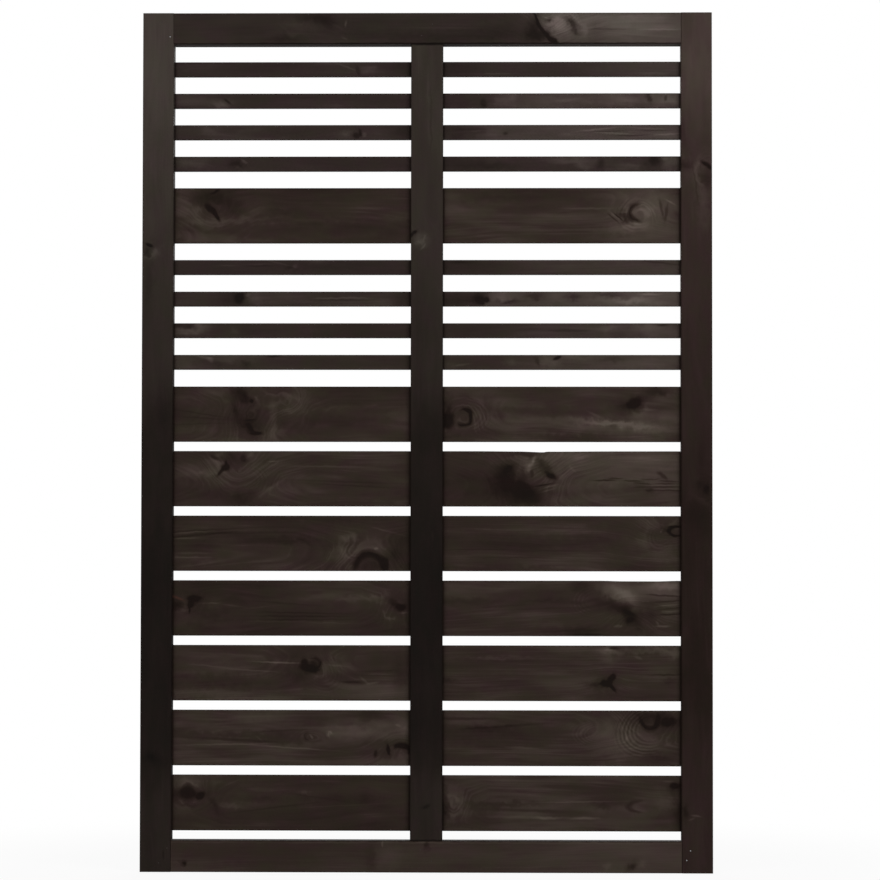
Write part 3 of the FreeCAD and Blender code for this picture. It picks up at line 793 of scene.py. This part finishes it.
dress(
    "right_low_board_2", tone=0.51, pith=(30, 45),
    bulge=[(1066, 318, 40, 26)],
    core=[(1104, 313, 14, 8, 0.7, 10), (670, 320, 60, 2.4, 0.24), (770, 305, 80, 2.4, 0.24, 4)],
    smoke=[
        (1058, 326, 32, 13, 0.5), (1100, 312, 22, 15, 0.45), (1088, 236, 26, 8, 0.3),
        (690, 288, 60, 20, 0.2), (740, 298, 60, 6, 0.2), (820, 285, 70, 16, 0.14),
    ],
    pale=[
        (1010, 285, 56, 30, 0.3), (1000, 252, 80, 20, 0.4), (1000, 326, 50, 8, 0.2),
        (680, 252, 50, 12, 0.16),
    ],
    fleck=[(790, 260, 40, 2, 0.25, -4)],
    crescent=[(1062, 329, 32, 19, 0.9, -80)],
    arcs=[(1070, 300, 62, 46, 0.75, 200), (960, 288, 48, 24, 0.25, 180)],
    russet=[
        (1055, 325, 34, 14, 0.8), (990, 246, 90, 18, 0.7), (1086, 238, 28, 8, 1.4), (920, 322, 60, 9, -0.5),
        (690, 290, 70, 24, 0.6), (810, 288, 50, 18, -0.7),
    ],
)
dress(
    "left_low_board_1", tone=0.46, pith=(4, 70),
    bulge=[(104, 163, 28, 20)],
    core=[
        (99, 164, 20, 14, 0.8), (126, 158, 9, 6.5, 0.9, 20), (290, 135, 90, 1.8, 0.21, 7),
        (370, 155, 60, 1.8, 0.15, -8),
    ],
    smoke=[
        (70, 160, 6, 10, 0.3), (105, 140, 16, 4, 0.3), (156, 138, 6, 20, 0.35, 25), (255, 152, 30, 4, 0.2),
        (470, 152, 12, 9, 0.22), (420, 110, 140, 16, 0.08),
    ],
    pale=[(80, 128, 26, 18, 0.22), (190, 137, 22, 4, 0.35, -5)],
    fleck=[(420, 138, 100, 1.5, 0.3, 3)],
    rim=[(100, 163, 24, 18, 0.75, 95), (100, 163, 23, 17, 0.5, -85), (330, 152, 36, 12, 0.3)],
    russet=[
        (96, 164, 22, 15, 0.9), (205, 126, 44, 6, 1.0, 8), (335, 152, 34, 12, 0.8),
        (380, 186, 190, 10, -0.5), (540, 180, 22, 14, 1.0),
    ],
)
dress(
    "right_low_board_1", tone=0.54, pith=(-20, 55),
    bulge=[(655, 138, 20, 20)],
    core=[(1117, 181, 10, 6, 0.9)],
    smoke=[
        (634, 128, 6, 16, 0.5), (1116, 174, 15, 13, 0.35), (1125, 122, 9, 24, 0.45),
        (745, 141, 66, 5, 0.28), (800, 129, 80, 3, 0.25, -2), (966, 138, 15, 6, 0.28),
    ],
    pale=[(652, 112, 16, 10, 0.4), (1095, 141, 16, 9, 0.3), (1040, 105, 100, 12, 0.15)],
    fleck=[
        (650, 145, 4, 8, 0.35, -15), (1106, 189, 12, 2.4, 0.45), (920, 147, 80, 1.6, 0.4, 1),
        (840, 114, 110, 3, 0.35, -1), (850, 113, 24, 3, 0.45), (930, 113, 24, 3, 0.6),
    ],
    crescent=[(1050, 138, 32, 13, 0.35, 180)],
    rim=[(652, 140, 18, 18, 0.5, 50), (1060, 138, 26, 10, 0.2, 180)],
    russet=[
        (1060, 190, 60, 7, 0.8), (1125, 130, 12, 30, 0.8), (742, 164, 54, 22, 1.0), (932, 113, 28, 5, 1.5),
        (850, 113, 26, 5, -1.0), (660, 180, 24, 20, -0.4),
    ],
)


# Boards with a worn top edge
#
# Two more of the wide boards, whose top edges the plane left uneven: one steps up past a torn knot and
# the other dips by a millimetre. Each is its CAD board's size, swept along with its own top edge.

BOARD_ARRIS = 2.5 * MM
ARRIS_STEPS = 4
BOARD_STEPS = 132
SHARP_EDGE = math.radians(40)


def worn_board(piece, dips, **look):
    """A board whose top edge is let down by depths in mm at places in mm along the panel."""
    low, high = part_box(piece)
    middle = (high + low) / 2
    section = []
    for turn, (side_y, side_z) in enumerate(((1, 1), (-1, 1), (-1, -1), (1, -1))):
        corner_y = middle.y + side_y * ((high.y - low.y) / 2 - BOARD_ARRIS)
        corner_z = middle.z + side_z * ((high.z - low.z) / 2 - BOARD_ARRIS)
        for i in range(ARRIS_STEPS + 1):
            direction = math.radians(90 * i / ARRIS_STEPS) + turn * math.pi / 2
            y = corner_y + BOARD_ARRIS * math.cos(direction)
            z = corner_z + BOARD_ARRIS * math.sin(direction)
            section.append((y, z))

    shape = bmesh.new()
    rings = []
    for i in range(BOARD_STEPS + 1):
        x = low.x + (high.x - low.x) * i / BOARD_STEPS
        drop = 0.0
        for (x0, d0), (x1, d1) in zip(dips, dips[1:]):
            if x0 <= x / MM <= x1:
                share = (x / MM - x0) / (x1 - x0)
                drop = (d0 + (d1 - d0) * share * share * (3 - 2 * share)) * MM
        rings.append([shape.verts.new((x, y, z - drop if z > middle.z else z)) for y, z in section])
    for near, far in zip(rings, rings[1:]):
        for i in range(len(section)):
            j = (i + 1) % len(section)
            shape.faces.new((near[i], near[j], far[j], far[i]))
    shape.faces.new(rings[0][::-1])
    shape.faces.new(rings[-1])
    bmesh.ops.recalc_face_normals(shape, faces=shape.faces)
    mesh = bpy.data.meshes.new(f"worn_{piece}")
    shape.to_mesh(mesh)
    shape.free()
    mesh.shade_smooth()
    mesh.set_sharp_from_angle(angle=SHARP_EDGE)
    mesh.materials.append(stained_spruce(piece, **look))
    board = bpy.data.objects.new(f"worn_{piece}", mesh)
    bpy.context.scene.collection.objects.link(board)
    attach(board, "root")
    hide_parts(piece)


worn_board(
    "right_low_board_6", dips=[(700, 0.0), (790, 0.6), (843, 2.2), (851, 0.9), (1000, 0.2), (1110, 0.0)],
    tone=0.52, pith=(-14, 36),
    bulge=[(810, 830, 44, 36)],
    core=[
        (817, 783, 24, 13, 0.34, -14), (800, 797, 22, 10, 0.22, -38), (800, 806, 14, 8, 0.4, -30),
        (768, 842, 9, 5, 0.5, 40), (818, 832, 4, 8, 0.35), (857, 828, 11, 5, 0.7, -25),
        (842, 808, 18, 1.6, 0.5, 10), (992, 822, 14, 1.5, 0.24, 3), (1030, 817, 18, 1.6, 0.3, -3),
        (1068, 820, 16, 1.4, 0.26, 2), (1104, 816, 18, 1.6, 0.3, -2), (1052, 811, 18, 1.4, 0.26, -4),
        (1096, 811, 20, 1.5, 0.3), (1048, 804, 16, 1.4, 0.24, 3), (1088, 804, 24, 1.5, 0.3, 1),
        (1100, 797, 40, 1.4, 0.27), (1065, 797, 8, 4, 0.35), (1090, 828, 12, 4, 0.35, -40),
        (970, 818, 20, 1.6, 0.4),
    ],
    smoke=[
        (700, 800, 66, 46, 0.32), (768, 838, 16, 18, 0.55, 30), (762, 805, 26, 22, 0.4),
        (802, 788, 34, 24, 0.42), (772, 800, 30, 26, 0.3), (800, 874, 30, 6, 0.4), (800, 828, 7, 9, 0.2),
        (845, 842, 22, 8, 0.5, -42), (1030, 806, 40, 10, 0.15),
    ],
    pale=[
        (812, 850, 18, 7, 0.6, 55), (788, 822, 18, 4, 0.55, 72), (1010, 845, 130, 40, 0.6),
        (914, 866, 20, 13, 0.35), (1080, 862, 50, 14, 0.3), (925, 790, 70, 20, 0.28),
    ],
    fleck=[
        (812, 846, 17, 5, 0.3, 58), (822, 862, 9, 3, 0.5, 75), (850, 803, 20, 1.6, 0.5, 15),
        (846, 795, 18, 1.6, 0.5, 15), (903, 842, 9, 2.4, 0.25, -45), (1100, 808, 40, 1.3, 0.4),
        (1105, 800, 34, 1.3, 0.4),
    ],
    russet=[
        (700, 800, 70, 40, 0.7), (680, 856, 50, 20, -0.5), (800, 790, 40, 20, -0.5),
        (910, 800, 60, 24, 0.6),
    ],
)
worn_board(
    "right_low_board_4", dips=[(960, 0.0), (1010, 1.0), (1080, 1.1), (1118, 0.2)],
    tone=0.49, pith=(26, 42),
    bulge=[(1030, 532, 30, 20)],
    core=[
        (1022, 540, 14, 4, 0.4, -25), (1024, 527, 6, 5, 0.9), (1095, 577, 34, 1.6, 0.3, -3),
        (1100, 565, 30, 1.6, 0.3, 4), (1108, 550, 26, 1.6, 0.27, 6), (1108, 538, 24, 1.5, 0.4, 4),
        (760, 555, 60, 1.6, 0.18, 4), (860, 550, 80, 1.6, 0.15, 2), (936, 495, 34, 2.4, 0.42),
    ],
    smoke=[
        (985, 556, 34, 11, 0.4, -22), (1022, 541, 24, 9, 0.5, -22), (1030, 520, 16, 9, 0.45, -30),
        (1066, 536, 16, 13, 0.28), (920, 598, 16, 12, 0.35), (945, 580, 26, 26, 0.14),
        (690, 562, 60, 5, 0.22), (850, 566, 60, 4, 0.2), (920, 503, 60, 7, 0.35),
    ],
    pale=[
        (988, 586, 36, 22, 0.5, -20), (1022, 571, 24, 12, 0.5, -40), (1092, 598, 42, 12, 0.7),
        (1070, 577, 60, 16, 0.35), (1110, 560, 36, 30, 0.35), (780, 588, 130, 14, 0.16),
    ],
    fleck=[
        (998, 513, 8, 3, 0.5), (994, 584, 31, 18, 0.27, -24), (1096, 599, 34, 9, 0.3, -3),
        (1104, 557, 26, 1.4, 0.45, 5), (1108, 544, 24, 1.4, 0.4, 5), (1092, 513, 15, 2.2, 0.7),
        (1080, 519, 6, 2.2, 0.5, -50),
    ],
    arcs=[(955, 565, 46, 30, 0.32, 180)],
    russet=[
        (990, 556, 44, 14, 0.5, -20), (1090, 596, 44, 12, 0.4), (1035, 590, 12, 16, -0.9, -45),
        (750, 536, 90, 16, 0.7), (730, 590, 90, 14, -0.4), (1034, 512, 16, 7, -0.8),
    ],
)


# Slats
#
# Narrow slats, 31 by 16 mm, ripped from straight-grained planks and planed, in two groups of four in
# each bay. Their grain runs nearly straight, with few knots.

dress(
    "left_top_slat_4", tone=0.45, pith=(60, 60), cast=0.2, grey=0.15, contrast=0.6,
    core=[(452, 1679, 3, 9, 0.3, 20)],
    smoke=[(250, 1683, 40, 12, 0.1), (545, 1683, 28, 16, 0.25)],
    pale=[(115, 1687, 50, 9, 0.3), (390, 1695, 34, 3, 0.25), (474, 1683, 15, 10, 0.4, 30)],
    fleck=[(428, 1688, 22, 1.8, 0.35, -20)],
    russet=[(540, 1683, 50, 16, -0.9), (320, 1669, 280, 3, 1.5)],
)
dress(
    "left_top_slat_3", tone=0.47, pith=(-70, 50), cast=0.2, grey=0.15, contrast=0.6,
    bulge=[(168, 1608, 12, 10)],
    core=[(177, 1615, 9, 2, 0.5, -38), (340, 1623, 26, 1.8, 0.18)],
    smoke=[(460, 1620, 120, 14, 0.12)],
    pale=[(110, 1615, 44, 14, 0.25), (165, 1608, 15, 7, 0.75)],
    russet=[(206, 1616, 28, 12, -1.0), (300, 1616, 30, 10, 0.8), (320, 1603, 280, 3, 1.5)],
)
dress(
    "left_top_slat_2", tone=0.52, pith=(40, 80), cast=0.2, grey=0.15, contrast=0.6,
    core=[(449, 1543, 7, 6, 0.55), (456, 1550, 3, 7, 0.5, 20)],
    smoke=[(300, 1548, 70, 10, 0.2), (545, 1550, 22, 16, 0.3)],
    pale=[(140, 1553, 15, 9, 0.35), (235, 1553, 34, 10, 0.2), (426, 1546, 11, 6, 0.35)],
    fleck=[(464, 1545, 4, 5, 0.35)],
    russet=[(240, 1553, 34, 12, -0.8), (450, 1545, 12, 8, 1.6), (320, 1536, 280, 3, 1.5)],
)
dress(
    "left_top_slat_1", tone=0.46, pith=(-50, 70), cast=0.25, grey=0.15, contrast=0.6,
    bulge=[(196, 1482, 16, 10)],
    smoke=[(195, 1481, 16, 9, 0.45), (430, 1483, 140, 18, 0.1)],
    pale=[(100, 1483, 34, 12, 0.45)],
    fleck=[(198, 1477, 3.5, 3, 0.7), (212, 1489, 10, 3, 0.7, -35)],
    russet=[(520, 1483, 60, 16, 0.7), (320, 1470, 280, 3, 1.2)],
)
dress(
    "right_top_slat_4", tone=0.5, pith=(90, 30), cast=0.2, grey=0.17, contrast=0.5,
    smoke=[(660, 1683, 50, 20, 0.4)],
    pale=[(1090, 1683, 110, 24, 0.5)],
    fleck=[(720, 1673, 60, 1.8, 0.4), (1070, 1674, 40, 1.6, 0.3)],
)
dress(
    "right_top_slat_3", tone=0.57, pith=(-45, 40), cast=0.25, grey=0.12, contrast=0.6,
    core=[(716, 1611, 6, 10, 0.35), (1098, 1621, 3, 5, 0.35)],
    smoke=[(680, 1616, 60, 18, 0.3), (1064, 1624, 4, 9, 0.4)],
    pale=[
        (756, 1618, 16, 9, 0.5), (778, 1617, 7, 8, 0.4), (900, 1618, 90, 12, 0.4),
        (1012, 1620, 36, 12, 0.55), (1102, 1618, 28, 12, 0.75),
    ],
    fleck=[(890, 1617, 26, 3, 0.3, 5)],
    russet=[(1000, 1616, 150, 20, 0.8), (890, 1603, 250, 3, 1.5)],
)
dress(
    "right_top_slat_2", tone=0.6, pith=(22, 50), cast=0.25, grey=0.15, contrast=0.6,
    core=[
        (690, 1556, 30, 1.6, 0.21), (762, 1547, 4, 3, 0.35), (975, 1551, 40, 1.5, 0.24, 2),
        (1030, 1543, 40, 1.5, 0.24, 2), (1075, 1553, 34, 1.5, 0.21),
    ],
    smoke=[(660, 1550, 30, 16, 0.35)],
    pale=[(738, 1554, 14, 6, 0.35), (890, 1545, 12, 3, 0.3), (1050, 1550, 110, 20, 0.4)],
    fleck=[
        (680, 1551, 40, 1.6, 0.35, 4), (960, 1556, 44, 1.8, 0.5, 6), (990, 1547, 50, 1.8, 0.5, -3),
        (1060, 1557, 40, 1.8, 0.4, -3), (1095, 1545, 34, 1.8, 0.5, 2),
    ],
    russet=[(880, 1536, 240, 3, 1.5)],
)
dress(
    "right_top_slat_1", tone=0.49, pith=(-60, 50), cast=0.2, grey=0.15, contrast=0.7,
    smoke=[
        (665, 1483, 44, 18, 0.3), (738, 1478, 40, 8, 0.3), (962, 1479, 5, 9, 0.4),
        (1074, 1488, 15, 10, 0.65, 20),
    ],
    pale=[
        (905, 1488, 40, 8, 0.35), (926, 1479, 13, 7, 0.4), (1025, 1478, 28, 8, 0.35),
        (1108, 1486, 20, 13, 0.7),
    ],
    fleck=[(1092, 1493, 10, 3, 0.5)],
    russet=[
        (742, 1478, 44, 8, 1.2), (690, 1488, 30, 10, -0.8), (830, 1486, 30, 12, 0.8),
        (880, 1470, 240, 3, 1.2),
    ],
)
dress(
    "left_low_slat_4", tone=0.43, pith=(20, 60), cast=0.35, grey=0.15, contrast=0.6,
    core=[(245, 1268, 26, 1.5, 0.3)],
    smoke=[(312, 1263, 10, 4, 0.35), (410, 1266, 90, 9, 0.15)],
    pale=[(368, 1277, 20, 3, 0.5)],
    fleck=[
        (180, 1269, 24, 1.5, 0.35), (245, 1272, 30, 1.6, 0.4), (290, 1273, 30, 1.7, 0.5, -14),
        (319, 1266, 5, 11, 0.5, -38),
    ],
    russet=[(500, 1262, 80, 12, 0.8), (240, 1252, 190, 3, 1.0)],
)
dress(
    "left_low_slat_3", tone=0.5, pith=(-40, 50), grey=0.12, contrast=0.6,
    core=[(202, 1199, 9, 10, 0.75), (420, 1196, 50, 1.4, 0.15)],
    smoke=[(190, 1199, 26, 16, 0.4), (206, 1207, 8, 5, 0.5), (548, 1198, 18, 16, 0.35)],
    pale=[(232, 1200, 20, 10, 0.4), (340, 1198, 150, 12, 0.16)],
    fleck=[(220, 1206, 9, 2.5, 0.4, 25), (385, 1200, 26, 1.8, 0.45), (440, 1201, 36, 1.8, 0.5)],
    russet=[(330, 1209, 60, 4, 1.4), (480, 1186, 90, 3, 1.4)],
)
dress(
    "left_low_slat_2", tone=0.44, pith=(50, 60), grey=0.1, contrast=0.6,
    smoke=[(100, 1142, 9, 5, 0.5), (78, 1143, 9, 5, 0.4), (460, 1132, 50, 16, 0.12)],
    pale=[
        (85, 1130, 22, 10, 0.6), (118, 1132, 20, 10, 0.7), (125, 1143, 16, 5, 0.45),
        (192, 1132, 11, 7, 0.4), (350, 1130, 60, 8, 0.15),
    ],
    russet=[(480, 1132, 60, 12, 0.5)],
)
dress(
    "left_low_slat_1", tone=0.51, pith=(-60, 60), grey=0.1, contrast=0.6,
    core=[(276, 1079, 12, 4, 0.7)],
    smoke=[(218, 1063, 8, 7, 0.3), (160, 1063, 8, 7, 0.2), (400, 1062, 130, 10, 0.12)],
    pale=[(90, 1068, 30, 12, 0.25), (182, 1072, 44, 8, 0.35)],
    fleck=[(130, 1076, 16, 3, 0.5, -10), (142, 1071, 8, 5, 0.5, -40)],
    russet=[(360, 1065, 100, 12, -0.7)],
)
dress(
    "right_low_slat_4", tone=0.52, pith=(70, 60), cast=0.1, grey=0.1, contrast=0.5,
    core=[(1090, 1274, 34, 1.6, 0.21, -6)],
    smoke=[(680, 1265, 70, 20, 0.25), (665, 1276, 20, 2.6, 0.3)],
    pale=[(1040, 1262, 120, 16, 0.3)],
    russet=[(720, 1263, 70, 16, -0.7), (1020, 1274, 90, 4, 1.5), (880, 1251, 240, 3, 0.8)],
)
dress(
    "right_low_slat_3", tone=0.6, pith=(-30, 50), cast=0.1, grey=0.1, contrast=0.6,
    core=[(709, 1196, 7, 7, 0.55), (722, 1196, 5, 4.5, 0.95), (714, 1189, 4, 2.5, 0.8)],
    smoke=[
        (660, 1198, 46, 20, 0.45), (708, 1203, 15, 10, 0.5, 20), (825, 1203, 18, 7, 0.4),
        (905, 1203, 18, 6, 0.4), (768, 1192, 20, 4, 0.35), (980, 1206, 30, 4, 0.3),
    ],
    pale=[
        (748, 1202, 22, 12, 0.6), (860, 1200, 90, 14, 0.35), (1050, 1199, 120, 22, 0.6),
        (1030, 1194, 36, 5, 0.5),
    ],
    fleck=[(717, 1190, 7, 2.5, 0.6, 20), (1066, 1208, 20, 2.4, 0.45)],
    russet=[(712, 1194, 14, 10, 0.8), (1090, 1205, 50, 8, 0.6)],
)
dress(
    "right_low_slat_2", tone=0.55, pith=(45, 70), cast=0.1, grey=0.12, contrast=0.6,
    core=[(896, 1132, 34, 2.2, 0.21), (1092, 1143, 9, 1.8, 0.4)],
    smoke=[(690, 1132, 70, 18, 0.25)],
    pale=[
        (978, 1138, 20, 5, 0.5, 8), (1056, 1137, 26, 9, 0.6), (1100, 1128, 40, 12, 0.4),
        (1010, 1128, 50, 8, 0.2),
    ],
    russet=[
        (738, 1132, 12, 10, 0.8), (780, 1132, 24, 12, -1.0), (900, 1140, 90, 8, 1.3),
        (940, 1124, 60, 6, 1.2), (1092, 1143, 16, 5, 1.6),
    ],
)
dress(
    "right_low_slat_1", tone=0.58, pith=(-55, 45), grey=0.07, contrast=0.6,
    core=[(871, 1075, 8, 3.2, 0.9, 25)],
    smoke=[(700, 1065, 70, 18, 0.22), (829, 1068, 4, 8, 0.35, 30), (990, 1072, 30, 4, 0.2)],
    pale=[
        (775, 1066, 10, 8, 0.3), (846, 1068, 14, 10, 0.5), (866, 1064, 10, 8, 0.4), (910, 1076, 34, 5, 0.4),
        (1060, 1066, 90, 14, 0.42),
    ],
    fleck=[(672, 1060, 18, 2, 0.4, 8)],
    russet=[(770, 1053, 36, 4, 1.6), (1000, 1066, 140, 12, -0.5)],
)


# Tenon pins
#
# Steel pins with small domed heads, driven from the front through the cheeks of each tenon, two to a
# joint. Most took the stain with the wood. A few were driven afterwards and show bare zinc.

PIN_HEAD = 2.4 * MM
PIN_SIDES = 16
# Outward and out of the wood, in radii of the head
PIN_PROFILE = ((0.0, 0.35), (0.55, 0.3), (0.85, 0.12), (1.0, -0.1), (1.0, -0.6))
SPANGLE_SIZE = 0.3 * MM
FILM_SIZE = 0.8 * MM
BARE_PINS = ((57, 1750), (1148, 47), (1140, 27))
STAINED_PINS = (
    (40, 1781), (1138, 1750), (1155, 1781), (57, 50), (40, 19),
    (586, 1752), (609, 1776), (586, 48), (609, 24),
)


def spotted_steel(name, spot_size, stops, inputs):
    """Steel with fine spots between two colours, and the shader's other inputs."""
    material = bpy.data.materials.new(name)
    material.use_nodes = True
    tree = material.node_tree
    shader = tree.nodes["Principled BSDF"]
    place = add_node(tree, "ShaderNodeTexCoord").outputs["Object"]
    spots = add_node(tree, "ShaderNodeTexNoise", {"Vector": place, "Scale": 1 / spot_size, "Detail": 2.0})
    tones = set_stops(add_node(tree, "ShaderNodeValToRGB", {"Fac": spots}), stops)
    tree.links.new(tones.outputs["Color"], shader.inputs["Base Color"])
    for key, value in inputs.items():
        shader.inputs[key].default_value = value
    return material


# A soft white-grey metal gleam, broken by the dull spots of the zinc's spangle
zinc_plated_steel = spotted_steel(
    "zinc_plated_steel", SPANGLE_SIZE, [(0.3, linear("#8d9092")), (0.7, linear("#c4c6c8"))],
    {"Metallic": 1.0, "Roughness": 0.45},
)
# Near-black brown from the dip that the wood had, with the stain thin in spots
stained_steel = spotted_steel(
    "stained_steel", FILM_SIZE, [(0.35, linear("#1d1715")), (0.7, linear("#3a302b"))],
    {"Roughness": 0.5, "Specular IOR Level": 0.3},
)


def pins(name, places, material):
    """Domed heads turned about their own axes and pressed into the front of the frame."""
    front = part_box("left_stile")[0].y
    shape = bmesh.new()
    for x, z in places:
        rings = []
        for out, rise in PIN_PROFILE[1:]:
            rings.append([
                shape.verts.new((
                    x * MM + PIN_HEAD / 2 * out * math.cos(math.tau * i / PIN_SIDES),
                    front - PIN_HEAD / 2 * rise,
                    z * MM + PIN_HEAD / 2 * out * math.sin(math.tau * i / PIN_SIDES),
                ))
                for i in range(PIN_SIDES)
            ])
        crown = shape.verts.new((x * MM, front - PIN_HEAD / 2 * PIN_PROFILE[0][1], z * MM))
        for i in range(PIN_SIDES):
            j = (i + 1) % PIN_SIDES
            shape.faces.new((crown, rings[0][i], rings[0][j]))
            for inner, outer in zip(rings, rings[1:]):
                shape.faces.new((inner[i], outer[i], outer[j], inner[j]))
        shape.faces.new(rings[-1])
    bmesh.ops.recalc_face_normals(shape, faces=shape.faces)
    mesh = bpy.data.meshes.new(name)
    shape.to_mesh(mesh)
    shape.free()
    mesh.shade_smooth()
    mesh.materials.append(material)
    heads = bpy.data.objects.new(name, mesh)
    bpy.context.scene.collection.objects.link(heads)
    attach(heads, "root")


pins("bare_tenon_pins", BARE_PINS, zinc_plated_steel)
pins("stained_tenon_pins", STAINED_PINS, stained_steel)


# Floor
#
# A plain pale studio floor, flush with the foot of the panel. To the camera it glows as white as the
# backdrop, a little less near the panel, and it still takes the panel's soft shadow.

FLOOR_SIZE = 30.0
FLOOR_GLOW = 0.92
GLOW_FROM, GLOW_TO = 0.7, 1.8

low, high = cad_box
floor_mesh = bpy.data.meshes.new("studio_floor")
shape = bmesh.new()
bmesh.ops.create_grid(shape, x_segments=8, y_segments=8, size=FLOOR_SIZE / 2)
shape.to_mesh(floor_mesh)
shape.free()
floor = bpy.data.objects.new("studio_floor", floor_mesh)
floor.location = ((low.x + high.x) / 2, 0, low.z)
bpy.context.scene.collection.objects.link(floor)

floor_paint = bpy.data.materials.new("matt_white_floor_paint")
floor_paint.use_nodes = True
floor_paint.node_tree.nodes.clear()
add = partial(add_node, floor_paint.node_tree)
paint = add("ShaderNodeBsdfDiffuse", {"Color": linear("#e8e8e8")})
glow = add("ShaderNodeEmission", {"Color": linear("#ffffff"), "Strength": 1.0})
ray = add("ShaderNodeLightPath").outputs
mirrored = add(
    "ShaderNodeMath", {0: ray["Is Glossy Ray"], 1: ray["Is Transmission Ray"]}, operation="MAXIMUM"
)
seen = add("ShaderNodeMath", {0: ray["Is Camera Ray"], 1: mirrored}, operation="MAXIMUM")
place = add("ShaderNodeTexCoord").outputs["Object"]
away = add("ShaderNodeVectorMath", {0: place}, operation="LENGTH").outputs["Value"]
glowing = add(
    "ShaderNodeMapRange",
    {"Value": away, "From Min": GLOW_FROM, "From Max": GLOW_TO, "To Min": FLOOR_GLOW, "To Max": 1.0},
    interpolation_type="SMOOTHSTEP",
)
share = add("ShaderNodeMath", {0: seen, 1: glowing}, operation="MULTIPLY")
surface = add("ShaderNodeMixShader", {0: share, 1: paint, 2: glow})
add("ShaderNodeOutputMaterial", {"Surface": surface})
floor_mesh.materials.append(floor_paint)


# Studio
#
# A white backdrop all round, seen by the camera and beside and above the panel in reflections. The
# studio before and behind the panel is dim. Two large soft boxes light the front and one the back.

BACKDROP = "#ffffff"
AMBIENT = 0.28
DIM = 0.12
# Name, place, width in m and power in W
SOFT_BOXES = (
    ("soft_box_right", (3.6, -4.6, 2.8), 2.6, 125.0),
    ("soft_box_left", (-2.2, -4.8, 2.6), 2.6, 78.0),
    ("soft_box_back", (0.6, 5.0, 3.0), 2.6, 125.0),
)

world = bpy.data.worlds.new("studio")
bpy.context.scene.world = world
world.use_nodes = True
world.node_tree.nodes.clear()
add = partial(add_node, world.node_tree)
ray = add("ShaderNodeLightPath").outputs
direction = add("ShaderNodeSeparateXYZ", {0: add("ShaderNodeTexCoord").outputs["Generated"]})
facing = add("ShaderNodeMath", {0: direction.outputs["Y"]}, operation="ABSOLUTE")
beside = add(
    "ShaderNodeMapRange",
    {"Value": facing, "From Min": 0.35, "From Max": 0.8, "To Min": 1.0, "To Max": DIM},
    interpolation_type="SMOOTHSTEP",
)
mirrored = add("ShaderNodeMath", {0: ray["Is Glossy Ray"], 1: beside}, operation="MULTIPLY")
diffuse = add("ShaderNodeMath", {0: ray["Is Diffuse Ray"], 1: AMBIENT}, operation="MULTIPLY")
seen = add("ShaderNodeMath", {0: ray["Is Camera Ray"], 1: ray["Is Transmission Ray"]}, operation="MAXIMUM")
lit = add("ShaderNodeMath", {0: mirrored, 1: diffuse}, operation="ADD")
strength = add("ShaderNodeMath", {0: seen, 1: lit}, operation="MAXIMUM")
backdrop = add("ShaderNodeBackground", {"Color": linear(BACKDROP), "Strength": strength})
add("ShaderNodeOutputWorld", {"Surface": backdrop})

centre = (low + high) / 2
for name, place, width, power in SOFT_BOXES:
    lamp = bpy.data.lights.new(name, "AREA")
    lamp.size = width
    lamp.energy = power
    soft_box = bpy.data.objects.new(name, lamp)
    soft_box.location = place
    soft_box.rotation_euler = (centre - Vector(place)).to_track_quat("-Z", "Y").to_euler()
    bpy.context.scene.collection.objects.link(soft_box)


# Camera
#
# A long lens, nearly square on, a little right of the middle and about a third of the panel's height
# up, tilted up by two degrees. Its place and lens were worked out from the corners of the gaps in the
# photograph, 880 pixels square.

CAMERA_PLACE = (0.762, -7.451, 0.629)
CAMERA_RISE = 0.0367
CAMERA_LEAN = -0.0013
CAMERA_TURN = 0.0183
FOCAL_LENGTH = 145.43
SENSOR = 36.0

camera_data = bpy.data.cameras.new("camera")
camera_data.lens = FOCAL_LENGTH
camera_data.sensor_width = SENSOR
camera = bpy.data.objects.new("camera", camera_data)
camera.location = CAMERA_PLACE
camera.rotation_euler = (math.pi / 2 + CAMERA_RISE, CAMERA_LEAN, CAMERA_TURN)
bpy.context.scene.collection.objects.link(camera)
bpy.context.scene.camera = camera
bpy.context.scene.view_settings.view_transform = "Standard"
